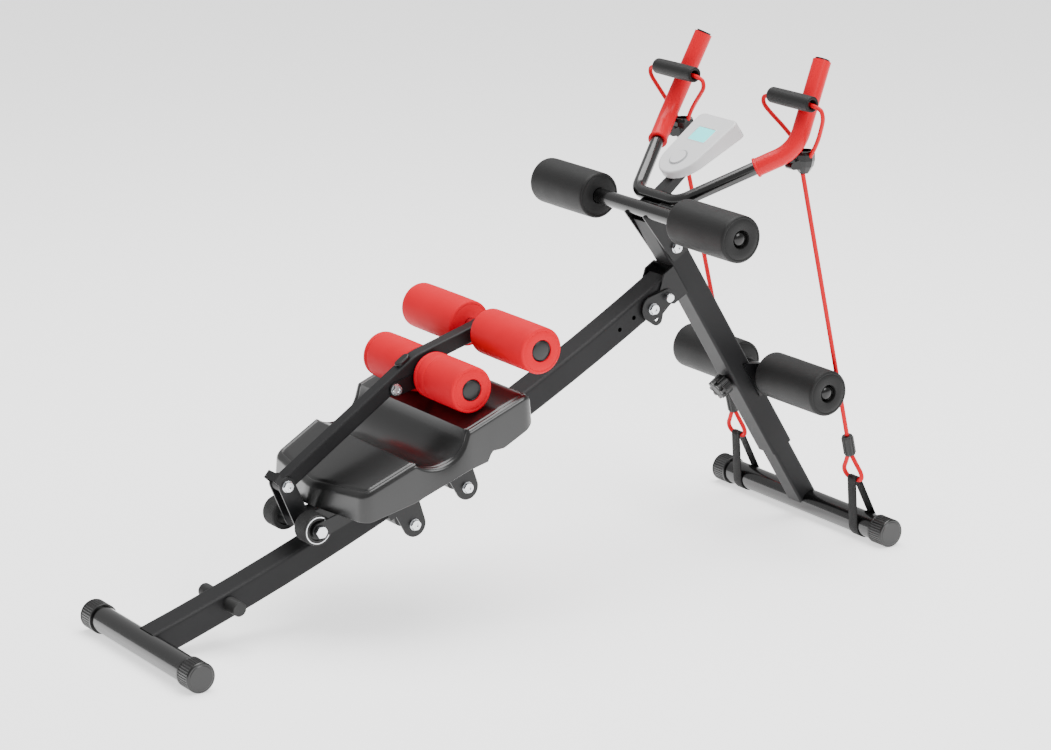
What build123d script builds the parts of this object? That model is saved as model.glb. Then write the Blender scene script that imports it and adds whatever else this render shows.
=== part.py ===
from build123d import *
from math import asin, cos, degrees, hypot, radians, sin, tan
import os

# Folding ab crunch machine: a curved rail on a front foot, a mast hinged to the rail's upper end,
# a telescopic leg with the rear foot, a rolling knee seat, and a swing arm with foam rollers.
# Millimetres. X is across the machine, Y runs from the front foot to the rear foot, Z is up.
# Stations (y, z) are measured from the front foot's axis and the floor. Everything is shifted
# by half the length between the feet when it is written, so the origin lies under the middle.

# --- feet ---
FOOT_SPAN = 1093.5
FOOT_R = 18.0
CAP_R = 21.0
CAP_LENGTH = 30.0
CAP_WALL = 4.0
CAP_FLAT = 0.3
FOOT_Z = CAP_R - CAP_FLAT
FRONT_FOOT_HALF = 150.0
REAR_FOOT_HALF = 200.0
WELD_START = 6.0

# --- rail: a rectangular tube rolled to an arc whose centre lies high above the front foot ---
RAIL_RADIUS = 3650.0
RAIL_START_DEG = 16.65
RAIL_END_Y = 831.0
RAIL_WIDTH = 40.0
RAIL_DEPTH = 36.0
RAIL_WALL = 2.0
CORNER_FLATS = 4
TUBE_CORNER = 4.0
RAIL_CENTRE_Y = -RAIL_RADIUS * sin(radians(RAIL_START_DEG))
RAIL_CENTRE_Z = FOOT_Z + RAIL_RADIUS * cos(radians(RAIL_START_DEG))

# --- stop peg through the lower rail ---
PEG = (114.4, 60.1)
PEG_R = 10.0
PEG_REACH = 48.3
PEG_BOLT_R = 4.0

# --- mast: outer tube, and the leg tube that slides in it ---
MAST_TILT_DEG = 31.2
MAST_WIDTH = 40.0
MAST_DEPTH = 36.0
MAST_WALL = 2.5
MAST_LOW = 110.0
MAST_TOP = 550.0
SLIDE_GAP = 0.35
LEG_TOP = 330.0
LEG_WALL = 2.0
LEG_HOLE_PITCH = 38.3
LEG_HOLES = 4

# --- fold joint, in mast coordinates: forward of the mast's axis, and along it ---
PIVOT_FORWARD = 77.9
PIVOT_ALONG = 443.8
PIN_FORWARD = 49.7
PIN_ALONG = 442.6
SPARE_HOLE = (80.5, 427.5)
BRACKET_LOW = 424.0
BRACKET_HIGH = 473.0
BRACKET_FLANGE = 36.0
BRACKET_GAP = 0.5
PLATE = 3.0
LOCK_PLATE = 2.5
BOLT_R = 4.0
RUNNING = 0.06
CORD_CLEAR = 0.15

# --- height knob ---
KNOB_Z = 235.0
KNOB_R = 15.5
KNOB_HEIGHT = 14.0
KNOB_BOSS_R = 9.0
KNOB_BOSS = 4.0

# --- foam rollers: (outer face x, length, axle y, axle z, foam radius, axle radius) ---
UPPER_BLACK = (229.0, 128.0, 794.2, 499.3, 33.0, 11.0)
LOWER_BLACK = (163.5, 128.0, 1002.6, 235.0, 33.0, 10.0)
UPPER_RED = (150.6, 127.0, 523.7, 369.7, 32.1, 8.0)
LOWER_RED = (113.4, 97.6, 437.2, 321.0, 32.0, 8.0)
FOAM_MOUTH_R = 13.0
AXLE_RECESS = 7.0
RED_CAP_R = 14.5

# --- handlebar ---
BAR_R = 9.5
GRIP_R = 13.0
BAR_INNER = (48.0, 821.5, 513.0)
BAR_OUTER = (148.7, 948.3, 589.2)
BAR_TOP = (135.8, 1002.0, 705.9)
BAR_INNER_BEND = 32.0
BAR_OUTER_BEND = 56.0
GRIP_BEFORE_BEND = 61.0
STEM_LOW = 477.0
STEM_BOLT_ALONG = 492.7
CRADLE_REACH = 30.0

# --- console ---
CONSOLE_FOOT = (833.0, 547.2)
CONSOLE_TILT_DEG = 34.6
CONSOLE_LENGTH = 118.0
CONSOLE_HALF = 43.0
CONSOLE_THICK = 25.0
CONSOLE_THIN = 12.0
BUTTON_DEEP = 6.0
CONSOLE_END_R = 38.0
CONSOLE_CORNER_R = 11.0
SCREEN = (38.0, 26.0)
SCREEN_ALONG = 79.0
BUTTON_ALONG = 30.4
BUTTON_R = 12.5
BUTTON_TRAVEL = 1.5

# --- cords, crimps and straps ---
CORD_R = 3.25
HANDLE_CORD_R = 3.0
GUIDE = (140.0, 970.0)
GUIDE_TOP = 585.0
GUIDE_BOTTOM = 553.0
GUIDE_R = 13.0
CORD_EXIT = (140.0, 968.0, 552.5)
CRIMP_TOP = (137.1, 1059.4, 158.1)
CRIMP_R = 9.0
CRIMP_LENGTH = 31.0
STRAP_X = 137.0
STRAP_WIDTH = 19.0
STRAP_THICK = 1.6
STRAP_APEX = (1075.0, 90.0)
HANDLE_CENTRE = (134.0, 952.0, 657.0)
HANDLE_LENGTH = 90.0
HANDLE_R = 11.5

# --- carriage ---
PLATE_X = 47.0
TOP_ROLLER_R = 16.0
GUIDE_ROLLER_R = 11.2
ROLLER_GAP = 0.35
TOP_ROLLER_Y = (352.0, 478.0)
GUIDE_HEIGHT = -29.6
GUIDE_ROLLER_Y = (372.7, 456.8)
ROLLER_WIDTH = 36.0
TAB_R = 17.5
CROSS_FRONT = (304.6, 160.0)
CROSS_R = 5.0
STRAP_END = (318.0, 175.0)
SEAT_POSTS = (345.0, 440.0)
PLATE_LOW = -4.0
PLATE_TOP = 44.0
FRONT_AXLE = (231.0, 149.0)
FRONT_ROLLER_R = 21.5
FRONT_ROLLER_X = (28.0, 56.0)
FRONT_AXLE_R = 5.0
FRONT_AXLE_HALF = 64.0

# --- swing arm ---
ARM_PIVOT = (209.6, 203.2)
ARM_BEND = (418.1, 339.7)
ARM_WIDTH = 21.0
ARM_DEPTH = 21.0
ARM_BEND_R = 60.0
ARM_BOLT = (381.0, 308.0)
ARM_CAP_AT = 0.655
HANGER = 2.5

FOAM_CLEAR = 0.06
HEX = 13.0
HEX_HEIGHT = 5.5
WASHER = 1.2
DIMPLE_R = 3.2
DIMPLE = 1.6


def side(profile, x0, x1):
    """A profile drawn in (y, z) and extruded from x0 to x1."""
    return extrude(Plane.YZ.offset(x0) * profile, amount=x1 - x0)


def rod(y, z, radius, x0, x1):
    """A round bar along X."""
    return side(Pos(y, z) * Circle(radius), x0, x1)


def sleeve(y, z, outer, inner, x0, x1):
    """A round tube along X."""
    return side(Pos(y, z) * (Circle(outer) - Circle(inner)), x0, x1)


def hexagon(y, z, x0, x1, flats=HEX):
    """A hexagonal head or nut along X."""
    return side(Pos(y, z) * RegularPolygon(flats / 2, 6, major_radius=False), x0, x1)


def hull(*circles):
    """The outline stretched round circles given as (y, z, radius)."""
    edges = [(Pos(y, z) * Circle(r)).edge() for y, z, r in circles]
    return make_hull(edges)


def both(shape):
    """A shape and its mirror image across the machine's middle plane."""
    return Compound(children=[shape, mirror(shape, about=Plane.YZ)])


def left(shape):
    """The mirror image of a right-hand shape."""
    return mirror(shape, about=Plane.YZ)


def along(start, end, distance):
    """The point at a distance from start towards end."""
    direction = (Vector(*end) - Vector(*start)).normalized()
    return Vector(*start) + direction * distance


def straight_tube(start, end, radius, inner=0.0):
    """A round bar or tube between two points."""
    axis = Vector(*end) - Vector(*start)
    plane = Plane(origin=start, z_dir=axis)
    ring = Circle(radius) - Circle(inner) if inner else Circle(radius)
    return extrude(plane * ring, amount=axis.length)


def swept(path, radius, inner=0.0):
    """A round bar or tube along a path of straight runs and arcs."""
    plane = Plane(origin=path @ 0, z_dir=path % 0)
    ring = Circle(radius) - Circle(inner) if inner else Circle(radius)
    return sweep(plane * ring, path=path)


def rail_at(y, height=0.0):
    """The (y, z) point at a height above the rail's centreline, over the station y on it."""
    angle = asin((y - RAIL_CENTRE_Y) / RAIL_RADIUS)
    reach = RAIL_RADIUS - height
    return RAIL_CENTRE_Y + reach * sin(angle), RAIL_CENTRE_Z - reach * cos(angle)


def rail_face(low, high, start, end):
    """The (y, z) face between two heights above the rail's centreline."""
    middle = (start + end) / 2
    bottom = ThreePointArc(rail_at(start, low), rail_at(middle, low), rail_at(end, low))
    top = ThreePointArc(rail_at(end, high), rail_at(middle, high), rail_at(start, high))
    ends = [Line(bottom @ 1, top @ 0), Line(top @ 1, bottom @ 0)]
    return make_face([bottom, ends[0], top, ends[1]])


def mast_point(forward, distance):
    """The (y, z) point at a distance along the mast from the rear foot's axis."""
    tilt = radians(MAST_TILT_DEG)
    y = FOOT_SPAN - distance * sin(tilt) - forward * cos(tilt)
    return y, FOOT_Z + distance * cos(tilt) - forward * sin(tilt)


def mast_plane(distance=0.0):
    """A plane across the mast, its Y pointing to the mast's rear face."""
    tilt = radians(MAST_TILT_DEG)
    y, z = mast_point(0, distance)
    return Plane(origin=(0, y, z), x_dir=(1, 0, 0), z_dir=(0, -sin(tilt), cos(tilt)))


def square_tube(width, depth, wall, start, end):
    """A rectangular tube on the mast's axis, from one distance to another."""
    length = end - start
    outer = Box(width, depth, length, align=(Align.CENTER, Align.CENTER, Align.MIN))
    outer = fillet(outer.edges().filter_by(Axis.Z), TUBE_CORNER)
    inner = Box(width - 2 * wall, depth - 2 * wall, length, align=(Align.CENTER, Align.CENTER, Align.MIN))
    return mast_plane(start) * (outer - inner)


def mast_profile(*points):
    """A polygon in (y, z) from points given as (forward, along) the mast."""
    return make_face(Polyline(*[mast_point(*p) for p in points], close=True))


# --- base: rail, front foot and stop peg ---

def rail_section(width, depth, corner):
    """A rectangle with each corner turned in short flats, so that every face rolls to a cone."""
    points = []
    for side_x, side_y, start in ((1, 1, 0), (-1, 1, 90), (-1, -1, 180), (1, -1, 270)):
        for flat in range(CORNER_FLATS + 1):
            angle = radians(start + 90 * flat / CORNER_FLATS)
            x = side_x * (width / 2 - corner) + corner * cos(angle)
            points.append((x, side_y * (depth / 2 - corner) + corner * sin(angle)))
    return make_face(Polyline(*points, close=True))


def rail_bar(section):
    """A solid bar with the rail's curve, from its weld to its upper end."""
    start = asin((WELD_START - RAIL_CENTRE_Y) / RAIL_RADIUS)
    end = asin((RAIL_END_Y - RAIL_CENTRE_Y) / RAIL_RADIUS)
    y, z = rail_at(WELD_START)
    plane = Plane(origin=(0, y, z), x_dir=(1, 0, 0), z_dir=(0, cos(start), sin(start)))
    axis = Axis((0, RAIL_CENTRE_Y, RAIL_CENTRE_Z), (1, 0, 0))
    return revolve(plane * section, axis=axis, revolution_arc=degrees(end - start))


def rail():
    half = RAIL_WIDTH / 2
    wall = RAIL_WALL
    tube = rail_bar(rail_section(RAIL_WIDTH, RAIL_DEPTH, TUBE_CORNER))
    tube -= rail_bar(Rectangle(RAIL_WIDTH - 2 * wall, RAIL_DEPTH - 2 * wall))
    tube -= rod(0, FOOT_Z, FOOT_R, -half, half)
    pivot = mast_point(PIVOT_FORWARD, PIVOT_ALONG)
    tube -= rod(*pivot, BOLT_R + RUNNING, -half, half)
    tube -= rod(*PEG, PEG_BOLT_R, -half, half)
    for station in (744.0, 768.0):
        tube -= rod(*rail_at(station), 3.2, 0, half)
    return tube


def foot_tube(y, half_length):
    """A foot's round tube, closed inside by its end caps."""
    reach = half_length - CAP_WALL
    return sleeve(y, FOOT_Z, FOOT_R, FOOT_R - 2.0, -reach, reach)


def foot_caps(y, half_length):
    """Plastic end caps pushed over a foot's tube, each with a small flat to stand on."""
    cap = rod(y, FOOT_Z, CAP_R, half_length - CAP_LENGTH, half_length)
    rim = cap.edges().filter_by(GeomType.CIRCLE).sort_by(Axis.X)[-1]
    cap = fillet(rim, 2.5)
    cap -= rod(y, FOOT_Z, FOOT_R, half_length - CAP_LENGTH, half_length - CAP_WALL)
    floor = Pos(0, y, -CAP_R) * Box(2 * half_length + 10, 2 * CAP_R, 2 * CAP_R)
    return both(cap - floor)


def stop_bumpers():
    """Rubber bumpers on one pin through the rail, which the carriage meets at its lowest."""
    y, z = PEG
    bumper = rod(y, z, PEG_R, RAIL_WIDTH / 2, PEG_REACH)
    bumper = fillet(bumper.edges().filter_by(GeomType.CIRCLE).sort_by(Axis.X)[-1], 1.5)
    pin = rod(y, z, PEG_BOLT_R, -RAIL_WIDTH / 2, RAIL_WIDTH / 2)
    return bumper + pin + left(bumper)


# --- mast ---

def axle_centre(spec):
    return spec[2], spec[3]


def mast_tube():
    tube = square_tube(MAST_WIDTH, MAST_DEPTH, MAST_WALL, MAST_LOW, MAST_TOP)
    half = MAST_WIDTH / 2
    tube -= rod(*axle_centre(UPPER_BLACK), UPPER_BLACK[5], -half, half)
    tube -= rod(*mast_point(0, STEM_BOLT_ALONG), BOLT_R, -half, half)
    boss_y, boss_along = -MAST_DEPTH / 2, knob_along()
    boss_plane = mast_plane(boss_along) * Pos(0, boss_y, 0) * Rot(90, 0, 0)
    tube += boss_plane * Cylinder(KNOB_BOSS_R, KNOB_BOSS, align=(Align.CENTER, Align.CENTER, Align.MIN))
    tube -= boss_plane * Cylinder(4.5, 4 * MAST_WALL + 2 * KNOB_BOSS)
    return tube


def knob_along():
    """How far along the mast the height knob sits."""
    return (KNOB_Z - FOOT_Z) / cos(radians(MAST_TILT_DEG))


def height_knob():
    """A ribbed knob with its spring pin, which ends just short of the leg tube."""
    plane = mast_plane(knob_along()) * Pos(0, -MAST_DEPTH / 2 - KNOB_BOSS - 0.4, 0) * Rot(90, 0, 0)
    up = (Align.CENTER, Align.CENTER, Align.MIN)
    knob = Cylinder(KNOB_R, KNOB_HEIGHT, align=up)
    knob = fillet(knob.edges().sort_by(Axis.Z)[-1], 2.0)
    for step in range(12):
        notch = Rot(0, 0, step * 30.0) * Pos(KNOB_R + 0.6, 0, 0) * Cylinder(1.8, KNOB_HEIGHT, align=up)
        knob -= notch
    pin_length = KNOB_BOSS + MAST_WALL + 0.3
    pin = Cylinder(4.0, pin_length, align=(Align.CENTER, Align.CENTER, Align.MAX))
    return plane * (knob + pin)


def fold_bracket():
    """A U-shaped bracket welded to the mast's front face, with the rail's end between its plates."""
    gap = RAIL_WIDTH / 2 + BRACKET_GAP
    front = MAST_DEPTH / 2
    flange = mast_profile(
        (front, BRACKET_LOW), (front, BRACKET_HIGH), (BRACKET_FLANGE, BRACKET_HIGH),
        (56.0, 456.0), (PIN_FORWARD, PIN_ALONG - 13.0), (44.0, 425.0),
    )
    ears = hull((*mast_point(PIN_FORWARD, PIN_ALONG), 14.0), (*mast_point(PIVOT_FORWARD, PIVOT_ALONG), 17.5))
    outline = flange + ears
    holes = Pos(*mast_point(PIN_FORWARD, PIN_ALONG)) * Circle(4.5)
    plate = side(outline - holes, gap, gap + PLATE)
    plate -= rod(*mast_point(PIVOT_FORWARD, PIVOT_ALONG), BOLT_R, gap, gap + PLATE)
    web = side(mast_profile((front, BRACKET_LOW), (front, BRACKET_HIGH), (front + PLATE, BRACKET_HIGH),
                            (front + PLATE, BRACKET_LOW)), -gap, gap)
    return plate + left(plate) + web


def lock_plate():
    """The stamped plate outside the bracket that carries the lock pin and the spare hole."""
    inner = RAIL_WIDTH / 2 + BRACKET_GAP + PLATE
    pin = mast_point(PIN_FORWARD, PIN_ALONG)
    pivot = mast_point(PIVOT_FORWARD, PIVOT_ALONG)
    spare = mast_point(*SPARE_HOLE)
    outline = hull((*pin, 11.5), (*pivot, 18.5)) + hull((*pivot, 18.5), (*spare, 9.5))
    outline -= Pos(*pin) * Circle(4.5)
    outline -= Pos(*pivot) * Circle(BOLT_R)
    outline -= Pos(*spare) * Circle(3.6)
    return side(outline, inner, inner + LOCK_PLATE)


def through_bolt(y, z, near, far, radius=BOLT_R):
    """A hex-headed bolt from its head at x = near to its nut at x = far."""
    shank = rod(y, z, radius, far - HEX_HEIGHT - 2.0, near + 0.5)
    washer = rod(y, z, HEX / 2 + 1.5, near, near + WASHER)
    head = hex_end(y, z, near, near + HEX_HEIGHT) - rod(y, z, DIMPLE_R, near + HEX_HEIGHT - DIMPLE, near + 10)
    nut = mirror(hex_end(y, z, -far, HEX_HEIGHT - far), about=Plane.YZ)
    return shank + washer + head + nut


def hex_end(y, z, x0, x1, flats=HEX):
    """A hexagon along X whose outer corners are turned down to a cone."""
    length = x1 - x0
    corner = flats / 2 / cos(radians(30))
    cone = Plane.YZ.offset(x0) * Pos(y, z) * Cone(corner + length, corner - 0.9, length,
                                                 align=(Align.CENTER, Align.CENTER, Align.MIN))
    return hexagon(y, z, x0, x1, flats) & cone


def mast_bolts():
    """The fold joint's pivot bolt and the stem's clamping bolt."""
    bracket_out = RAIL_WIDTH / 2 + BRACKET_GAP + PLATE
    pivot = through_bolt(*mast_point(PIVOT_FORWARD, PIVOT_ALONG), bracket_out + LOCK_PLATE, -bracket_out)
    stem_out = MAST_WIDTH / 2 + PLATE
    stem = through_bolt(*mast_point(0, STEM_BOLT_ALONG), stem_out, -stem_out)
    return Compound(children=[pivot, stem])


def fold_pin():
    """The pull pin of the fold lock. Its tip lies flush in the bracket's near plate."""
    y, z = mast_point(PIN_FORWARD, PIN_ALONG)
    tip = RAIL_WIDTH / 2 + BRACKET_GAP + 0.2
    outside = RAIL_WIDTH / 2 + BRACKET_GAP + PLATE + LOCK_PLATE
    pin = rod(y, z, 4.4, tip, outside + 3.0)
    head = rod(y, z, 6.5, outside + 0.4, outside + 8.0)
    head = fillet(head.edges().filter_by(GeomType.CIRCLE).sort_by(Axis.X)[-1], 1.5)
    return pin + head


def above_line(start, end, reach):
    """The (y, z) strip above the line through two points, longer than it and as high as its reach."""
    first = Vector(*end) + (Vector(*start) - Vector(*end)).normalized() * 2 * reach
    last = Vector(*start) + (Vector(*end) - Vector(*start)).normalized() * 2 * reach
    rise = Vector(0, reach)
    return make_face(Polyline(first, last, last + rise, first + rise, close=True))


def handlebar_stem():
    """Two plates bolted on the mast's sides, with open cradles that the axle and handlebar lie in."""
    outer = MAST_WIDTH / 2 + PLATE
    low = STEM_LOW + 5.0
    axle = axle_centre(UPPER_BLACK)
    bar = BAR_INNER[1:]
    outline = hull((*mast_point(10.0, low), 5.0), (*mast_point(-12.0, low), 5.0), (*axle, 14.5), (*bar, 13.0))
    plate = side(outline, MAST_WIDTH / 2, outer)
    plate -= rod(*axle, UPPER_BLACK[5], 0, outer)
    plate -= rod(*bar, BAR_R, 0, outer)
    plate -= side(above_line(axle, bar, CRADLE_REACH), 0, outer)
    plate -= rod(*mast_point(0, STEM_BOLT_ALONG), BOLT_R, 0, outer)
    return both(plate)


def roller_axle(spec):
    """An axle tube that carries a pair of rollers and stops short of their outer faces."""
    reach = spec[0] - AXLE_RECESS
    return sleeve(*axle_centre(spec), spec[5], spec[5] - 2.0, -reach, reach)


def axle_end_caps():
    """Domed caps in the ends of both black axles, which keep the rollers on."""
    caps = []
    for spec in (UPPER_BLACK, LOWER_BLACK):
        start = spec[0] - AXLE_RECESS
        cap = rod(*axle_centre(spec), FOAM_MOUTH_R - 0.8, start, start + 2.5)
        cap += rod(*axle_centre(spec), spec[5] - 2.0, start - 8.0, start)
        cap = fillet(cap.edges().filter_by(GeomType.CIRCLE).sort_by(Axis.X)[-1], 1.2)
        caps += [cap, left(cap)]
    return Compound(children=caps)


def axle_saddle():
    """A bracket wrapped round the mast's rear, with an ear on each side of the lower axle."""
    axle = axle_centre(LOWER_BLACK)
    outline = hull((*mast_point(-7.0, 208.0), 2.0), (*mast_point(-7.0, 266.0), 2.0), (*axle, 13.0))
    ear = side(outline, MAST_WIDTH / 2, MAST_WIDTH / 2 + PLATE)
    ear -= rod(*axle, LOWER_BLACK[5], 0, MAST_WIDTH)
    return both(ear)


def handlebar_path(inset=0.0):
    """The handlebar's centreline from the left top to the right top."""
    right = [BAR_INNER, BAR_OUTER, tuple(along(BAR_TOP, BAR_OUTER, inset))]
    points = [(-x, y, z) for x, y, z in reversed(right)] + right
    radii = [BAR_OUTER_BEND, BAR_INNER_BEND, BAR_INNER_BEND, BAR_OUTER_BEND]
    return FilletPolyline(*points, radius=radii)


def handlebar():
    return swept(handlebar_path(1.0), BAR_R, BAR_R - 1.5)


def grip_path(top_inset=0.0):
    """The right-hand grip's centreline, from below the bend to the top."""
    start = along(BAR_OUTER, BAR_INNER, GRIP_BEFORE_BEND)
    top = along(BAR_TOP, BAR_OUTER, top_inset)
    return FilletPolyline(tuple(start), BAR_OUTER, tuple(top), radius=BAR_OUTER_BEND)


def grips():
    return both(swept(grip_path(), GRIP_R, BAR_R))


def handlebar_plugs():
    """Domed plugs in the tops of the handlebar."""
    beyond = along(BAR_TOP, BAR_OUTER, -2.5)
    inside = along(BAR_TOP, BAR_OUTER, 14.0)
    head = straight_tube(BAR_TOP, tuple(beyond), 10.5)
    plug = straight_tube(tuple(inside), BAR_TOP, BAR_R - 1.5)
    return both(head + plug - straight_tube(tuple(along(BAR_TOP, BAR_OUTER, 1.0)), BAR_TOP, BAR_R)
                + straight_tube(tuple(along(BAR_TOP, BAR_OUTER, 1.0)), BAR_TOP, BAR_R - 1.5))


# --- console ---

def console_plane(height=0.0):
    """A plane on the console's face: Y runs from its foot end to its far end."""
    tilt = radians(CONSOLE_TILT_DEG)
    y, z = CONSOLE_FOOT
    origin = (0, y - height * sin(tilt), z + height * cos(tilt))
    return Plane(origin=origin, x_dir=(1, 0, 0), z_dir=(0, -sin(tilt), cos(tilt)))


def console_outline(inset=0.0):
    """The console's outline, broad and rounded at the foot end."""
    corner = CONSOLE_CORNER_R
    reach = CONSOLE_HALF - corner
    corners = [(x, CONSOLE_LENGTH - corner, corner - inset) for x in (-reach, reach)]
    return hull((0, CONSOLE_END_R, CONSOLE_END_R - inset), *corners)


def console_underside():
    """A plane on the console's underside, which leaves it thicker at its far end."""
    slope = degrees(asin((CONSOLE_THICK - CONSOLE_THIN) / CONSOLE_LENGTH))
    return console_plane(-CONSOLE_THIN) * Rot(-slope, 0, 0)


def console_housing():
    deep = 2 * CONSOLE_THICK
    body = extrude(console_plane(-deep) * console_outline(), amount=deep)
    body = fillet(body.faces().sort_by(Axis((0, 0, 0), console_plane().z_dir))[-1].edges(), 3.0)
    below = Plane(console_underside()) * Rectangle(4 * CONSOLE_HALF, 4 * CONSOLE_LENGTH)
    body -= extrude(below, amount=-3 * CONSOLE_THICK)
    pocket = console_plane(-1.2) * Pos(0, SCREEN_ALONG) * RectangleRounded(*SCREEN, 2.0)
    body -= extrude(pocket, amount=2.0)
    button_hole = console_plane(-BUTTON_DEEP) * Pos(0, BUTTON_ALONG) * Circle(BUTTON_R + 0.4)
    return body - extrude(button_hole, amount=2 * BUTTON_DEEP)


def console_screen():
    outline = RectangleRounded(SCREEN[0] - 0.4, SCREEN[1] - 0.4, 1.8)
    pane = console_plane(-1.2) * Pos(0, SCREEN_ALONG) * outline
    return extrude(pane, amount=1.0)


def console_button():
    """The round push button, with room below it for its travel."""
    disc = console_plane(-3.6) * Pos(0, BUTTON_ALONG) * Circle(BUTTON_R)
    return extrude(disc, amount=5.4)


def console_bracket():
    """The bracket between the handlebar's lower bar and the console's underside."""
    bar_y, bar_z = BAR_INNER[1], BAR_INNER[2]
    under = Plane(console_underside())
    plate = extrude(under * Pos(0, 34.0) * Rectangle(34.0, 52.0), amount=-3.0)
    foot = under.from_local_coords(Vector(0, 9.0, -1.5))
    tail = under.from_local_coords(Vector(0, 46.0, -1.5))
    link = make_face(Polyline((bar_y - 7, bar_z + 3), (bar_y + 6, bar_z - 6), (tail.Y, tail.Z - 6),
                              (tail.Y, tail.Z), (foot.Y, foot.Z), close=True))
    link = side(link, -9.0, 9.0) - extrude(under * Rectangle(200, 300), amount=60)
    return plate + link - rod(bar_y, bar_z, BAR_R, -20, 20)


# --- cords and what holds them ---

def cord_guides():
    """Cups under the grips' bends, which lead the cords from the handles to the rear foot."""
    x, y = GUIDE
    upright = (Align.CENTER, Align.CENTER, Align.MIN)
    cup = Pos(x, y, GUIDE_BOTTOM) * Cone(6.5, GUIDE_R, 16.0, align=upright)
    wall = GUIDE_TOP - GUIDE_BOTTOM - 16.0
    cup += Pos(x, y, GUIDE_BOTTOM + 16.0) * Cylinder(GUIDE_R, wall, align=upright)
    lug = hull((y - 4.0, 568.0, 8.0), (y - 23.0, 566.0, 5.0))
    body = cup + side(lug, x - 7.0, x + 7.0)
    body -= swept(grip_path(), GRIP_R)
    mouth = Pos(x, y, 566.0) * Cylinder(GUIDE_R - 2.0, 40.0, align=upright)
    return both(body - mouth - swept(cord_path(HANDLE_ROUTE), HANDLE_CORD_R + CORD_CLEAR))


def d_handles():
    """Foam pull handles, each a thick tube that its cord runs through."""
    x, y, z = HANDLE_CENTRE
    half = HANDLE_LENGTH / 2
    handle = sleeve(y, z, HANDLE_R, 6.6, x - half, x + half)
    ends = handle.edges().filter_by(GeomType.CIRCLE)
    outer = [e for e in ends if e.radius > HANDLE_R - 0.1]
    return both(fillet(outer, 1.6))


HANDLE_ROUTE = [
    (135.5, 972.0, 570.0),
    (128.0, 970.0, 589.0),
    (104.0, 963.0, 612.0),
    (81.0, 956.0, 630.0),
    (67.0, 952.5, 643.0),
    (74.0, 952.0, 657.0),
    (194.0, 952.0, 657.0),
    (201.0, 953.5, 643.0),
    (191.0, 959.0, 627.0),
    (168.0, 969.0, 596.0),
    (145.5, 972.0, 570.0),
]
LOOP_ROUTE = [
    (133.6, 1065.4, 129.0),
    (126.0, 1068.5, 116.0),
    (116.0, 1071.5, 102.0),
    (122.0, 1075.0, 90.0),
    (152.0, 1075.0, 90.0),
    (158.0, 1071.5, 102.0),
    (148.0, 1068.5, 116.0),
    (140.4, 1065.4, 129.0),
]
SHARE = 0.45


def corner_radii(points):
    """Each corner's arc radius: a share of its shorter run over the tangent of half the turn."""
    radii = []
    for before, corner, after in zip(points, points[1:], points[2:]):
        arriving = Vector(*corner) - Vector(*before)
        leaving = Vector(*after) - Vector(*corner)
        half_turn = radians(arriving.get_angle(leaving)) / 2
        radii.append(SHARE * min(arriving.length, leaving.length) / tan(half_turn))
    return radii


def cord_path(points):
    """A cord's centreline: straight runs joined by tangent arcs."""
    return FilletPolyline(*points, radius=corner_radii(points))


def cord(points, radius, name):
    """A plain round cord along its centreline."""
    radii = corner_radii(points)
    path = cord_path(points)
    solid = swept(path, radius)
    section = solid.volume / (3.14159265 * radius ** 2)
    print(name, "radii", [round(r, 1) for r in radii], "length", round(path.length, 1),
          "volume over section", round(section, 1))
    return solid


def resistance_cord():
    """The taut cord from the guide's underside down to the crimp."""
    return straight_tube(CORD_EXIT, CRIMP_TOP, CORD_R)


def crimp_direction():
    return (Vector(*CRIMP_TOP) - Vector(*CORD_EXIT)).normalized()


def cord_crimps():
    """Sleeves that close the cords' lower loops."""
    top = Vector(*CRIMP_TOP)
    bottom = top + crimp_direction() * CRIMP_LENGTH
    crimp = straight_tube(tuple(top), tuple(bottom), CRIMP_R)
    crimp = chamfer(crimp.edges().filter_by(GeomType.CIRCLE), 0.8)
    return both(crimp - swept(cord_path(LOOP_ROUTE), CORD_R + CORD_CLEAR))


def foot_straps():
    """Webbing loops round the rear foot that hold the cords' lower ends."""
    apex = (*STRAP_APEX, CORD_R + 0.8)
    foot = (FOOT_SPAN, FOOT_Z, FOOT_R + 0.1)
    inside = hull(apex, foot)
    outside = hull((*STRAP_APEX, apex[2] + STRAP_THICK), (FOOT_SPAN, FOOT_Z, foot[2] + STRAP_THICK))
    half = STRAP_WIDTH / 2
    return both(side(outside - inside, STRAP_X - half, STRAP_X + half))


# --- leg ---

def leg_tube():
    clear = MAST_WALL + SLIDE_GAP
    width = MAST_WIDTH - 2 * clear
    depth = MAST_DEPTH - 2 * clear
    tube = square_tube(width, depth, LEG_WALL, WELD_START, LEG_TOP)
    tube -= rod(FOOT_SPAN, FOOT_Z, FOOT_R, -MAST_WIDTH, MAST_WIDTH)
    for step in range(LEG_HOLES):
        hole = mast_plane(knob_along() + step * LEG_HOLE_PITCH - LEG_HOLE_PITCH / 2) * Pos(0, -depth / 2, 0)
        tube -= hole * Rot(90, 0, 0) * Cylinder(4.6, 4 * LEG_WALL)
    return tube


# --- foam rollers ---

def black_roller(spec):
    """A foam roller with a wide mouth at its outer end, where its axle's cap is seen."""
    outer, length, y, z, radius, axle = spec
    foam = rod(y, z, radius, outer - length, outer)
    foam = fillet(foam.edges().filter_by(GeomType.CIRCLE), 3.0)
    foam -= rod(y, z, axle + FOAM_CLEAR, outer - length, outer)
    return foam - rod(y, z, FOAM_MOUTH_R, outer - AXLE_RECESS - 0.4, outer)


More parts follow.
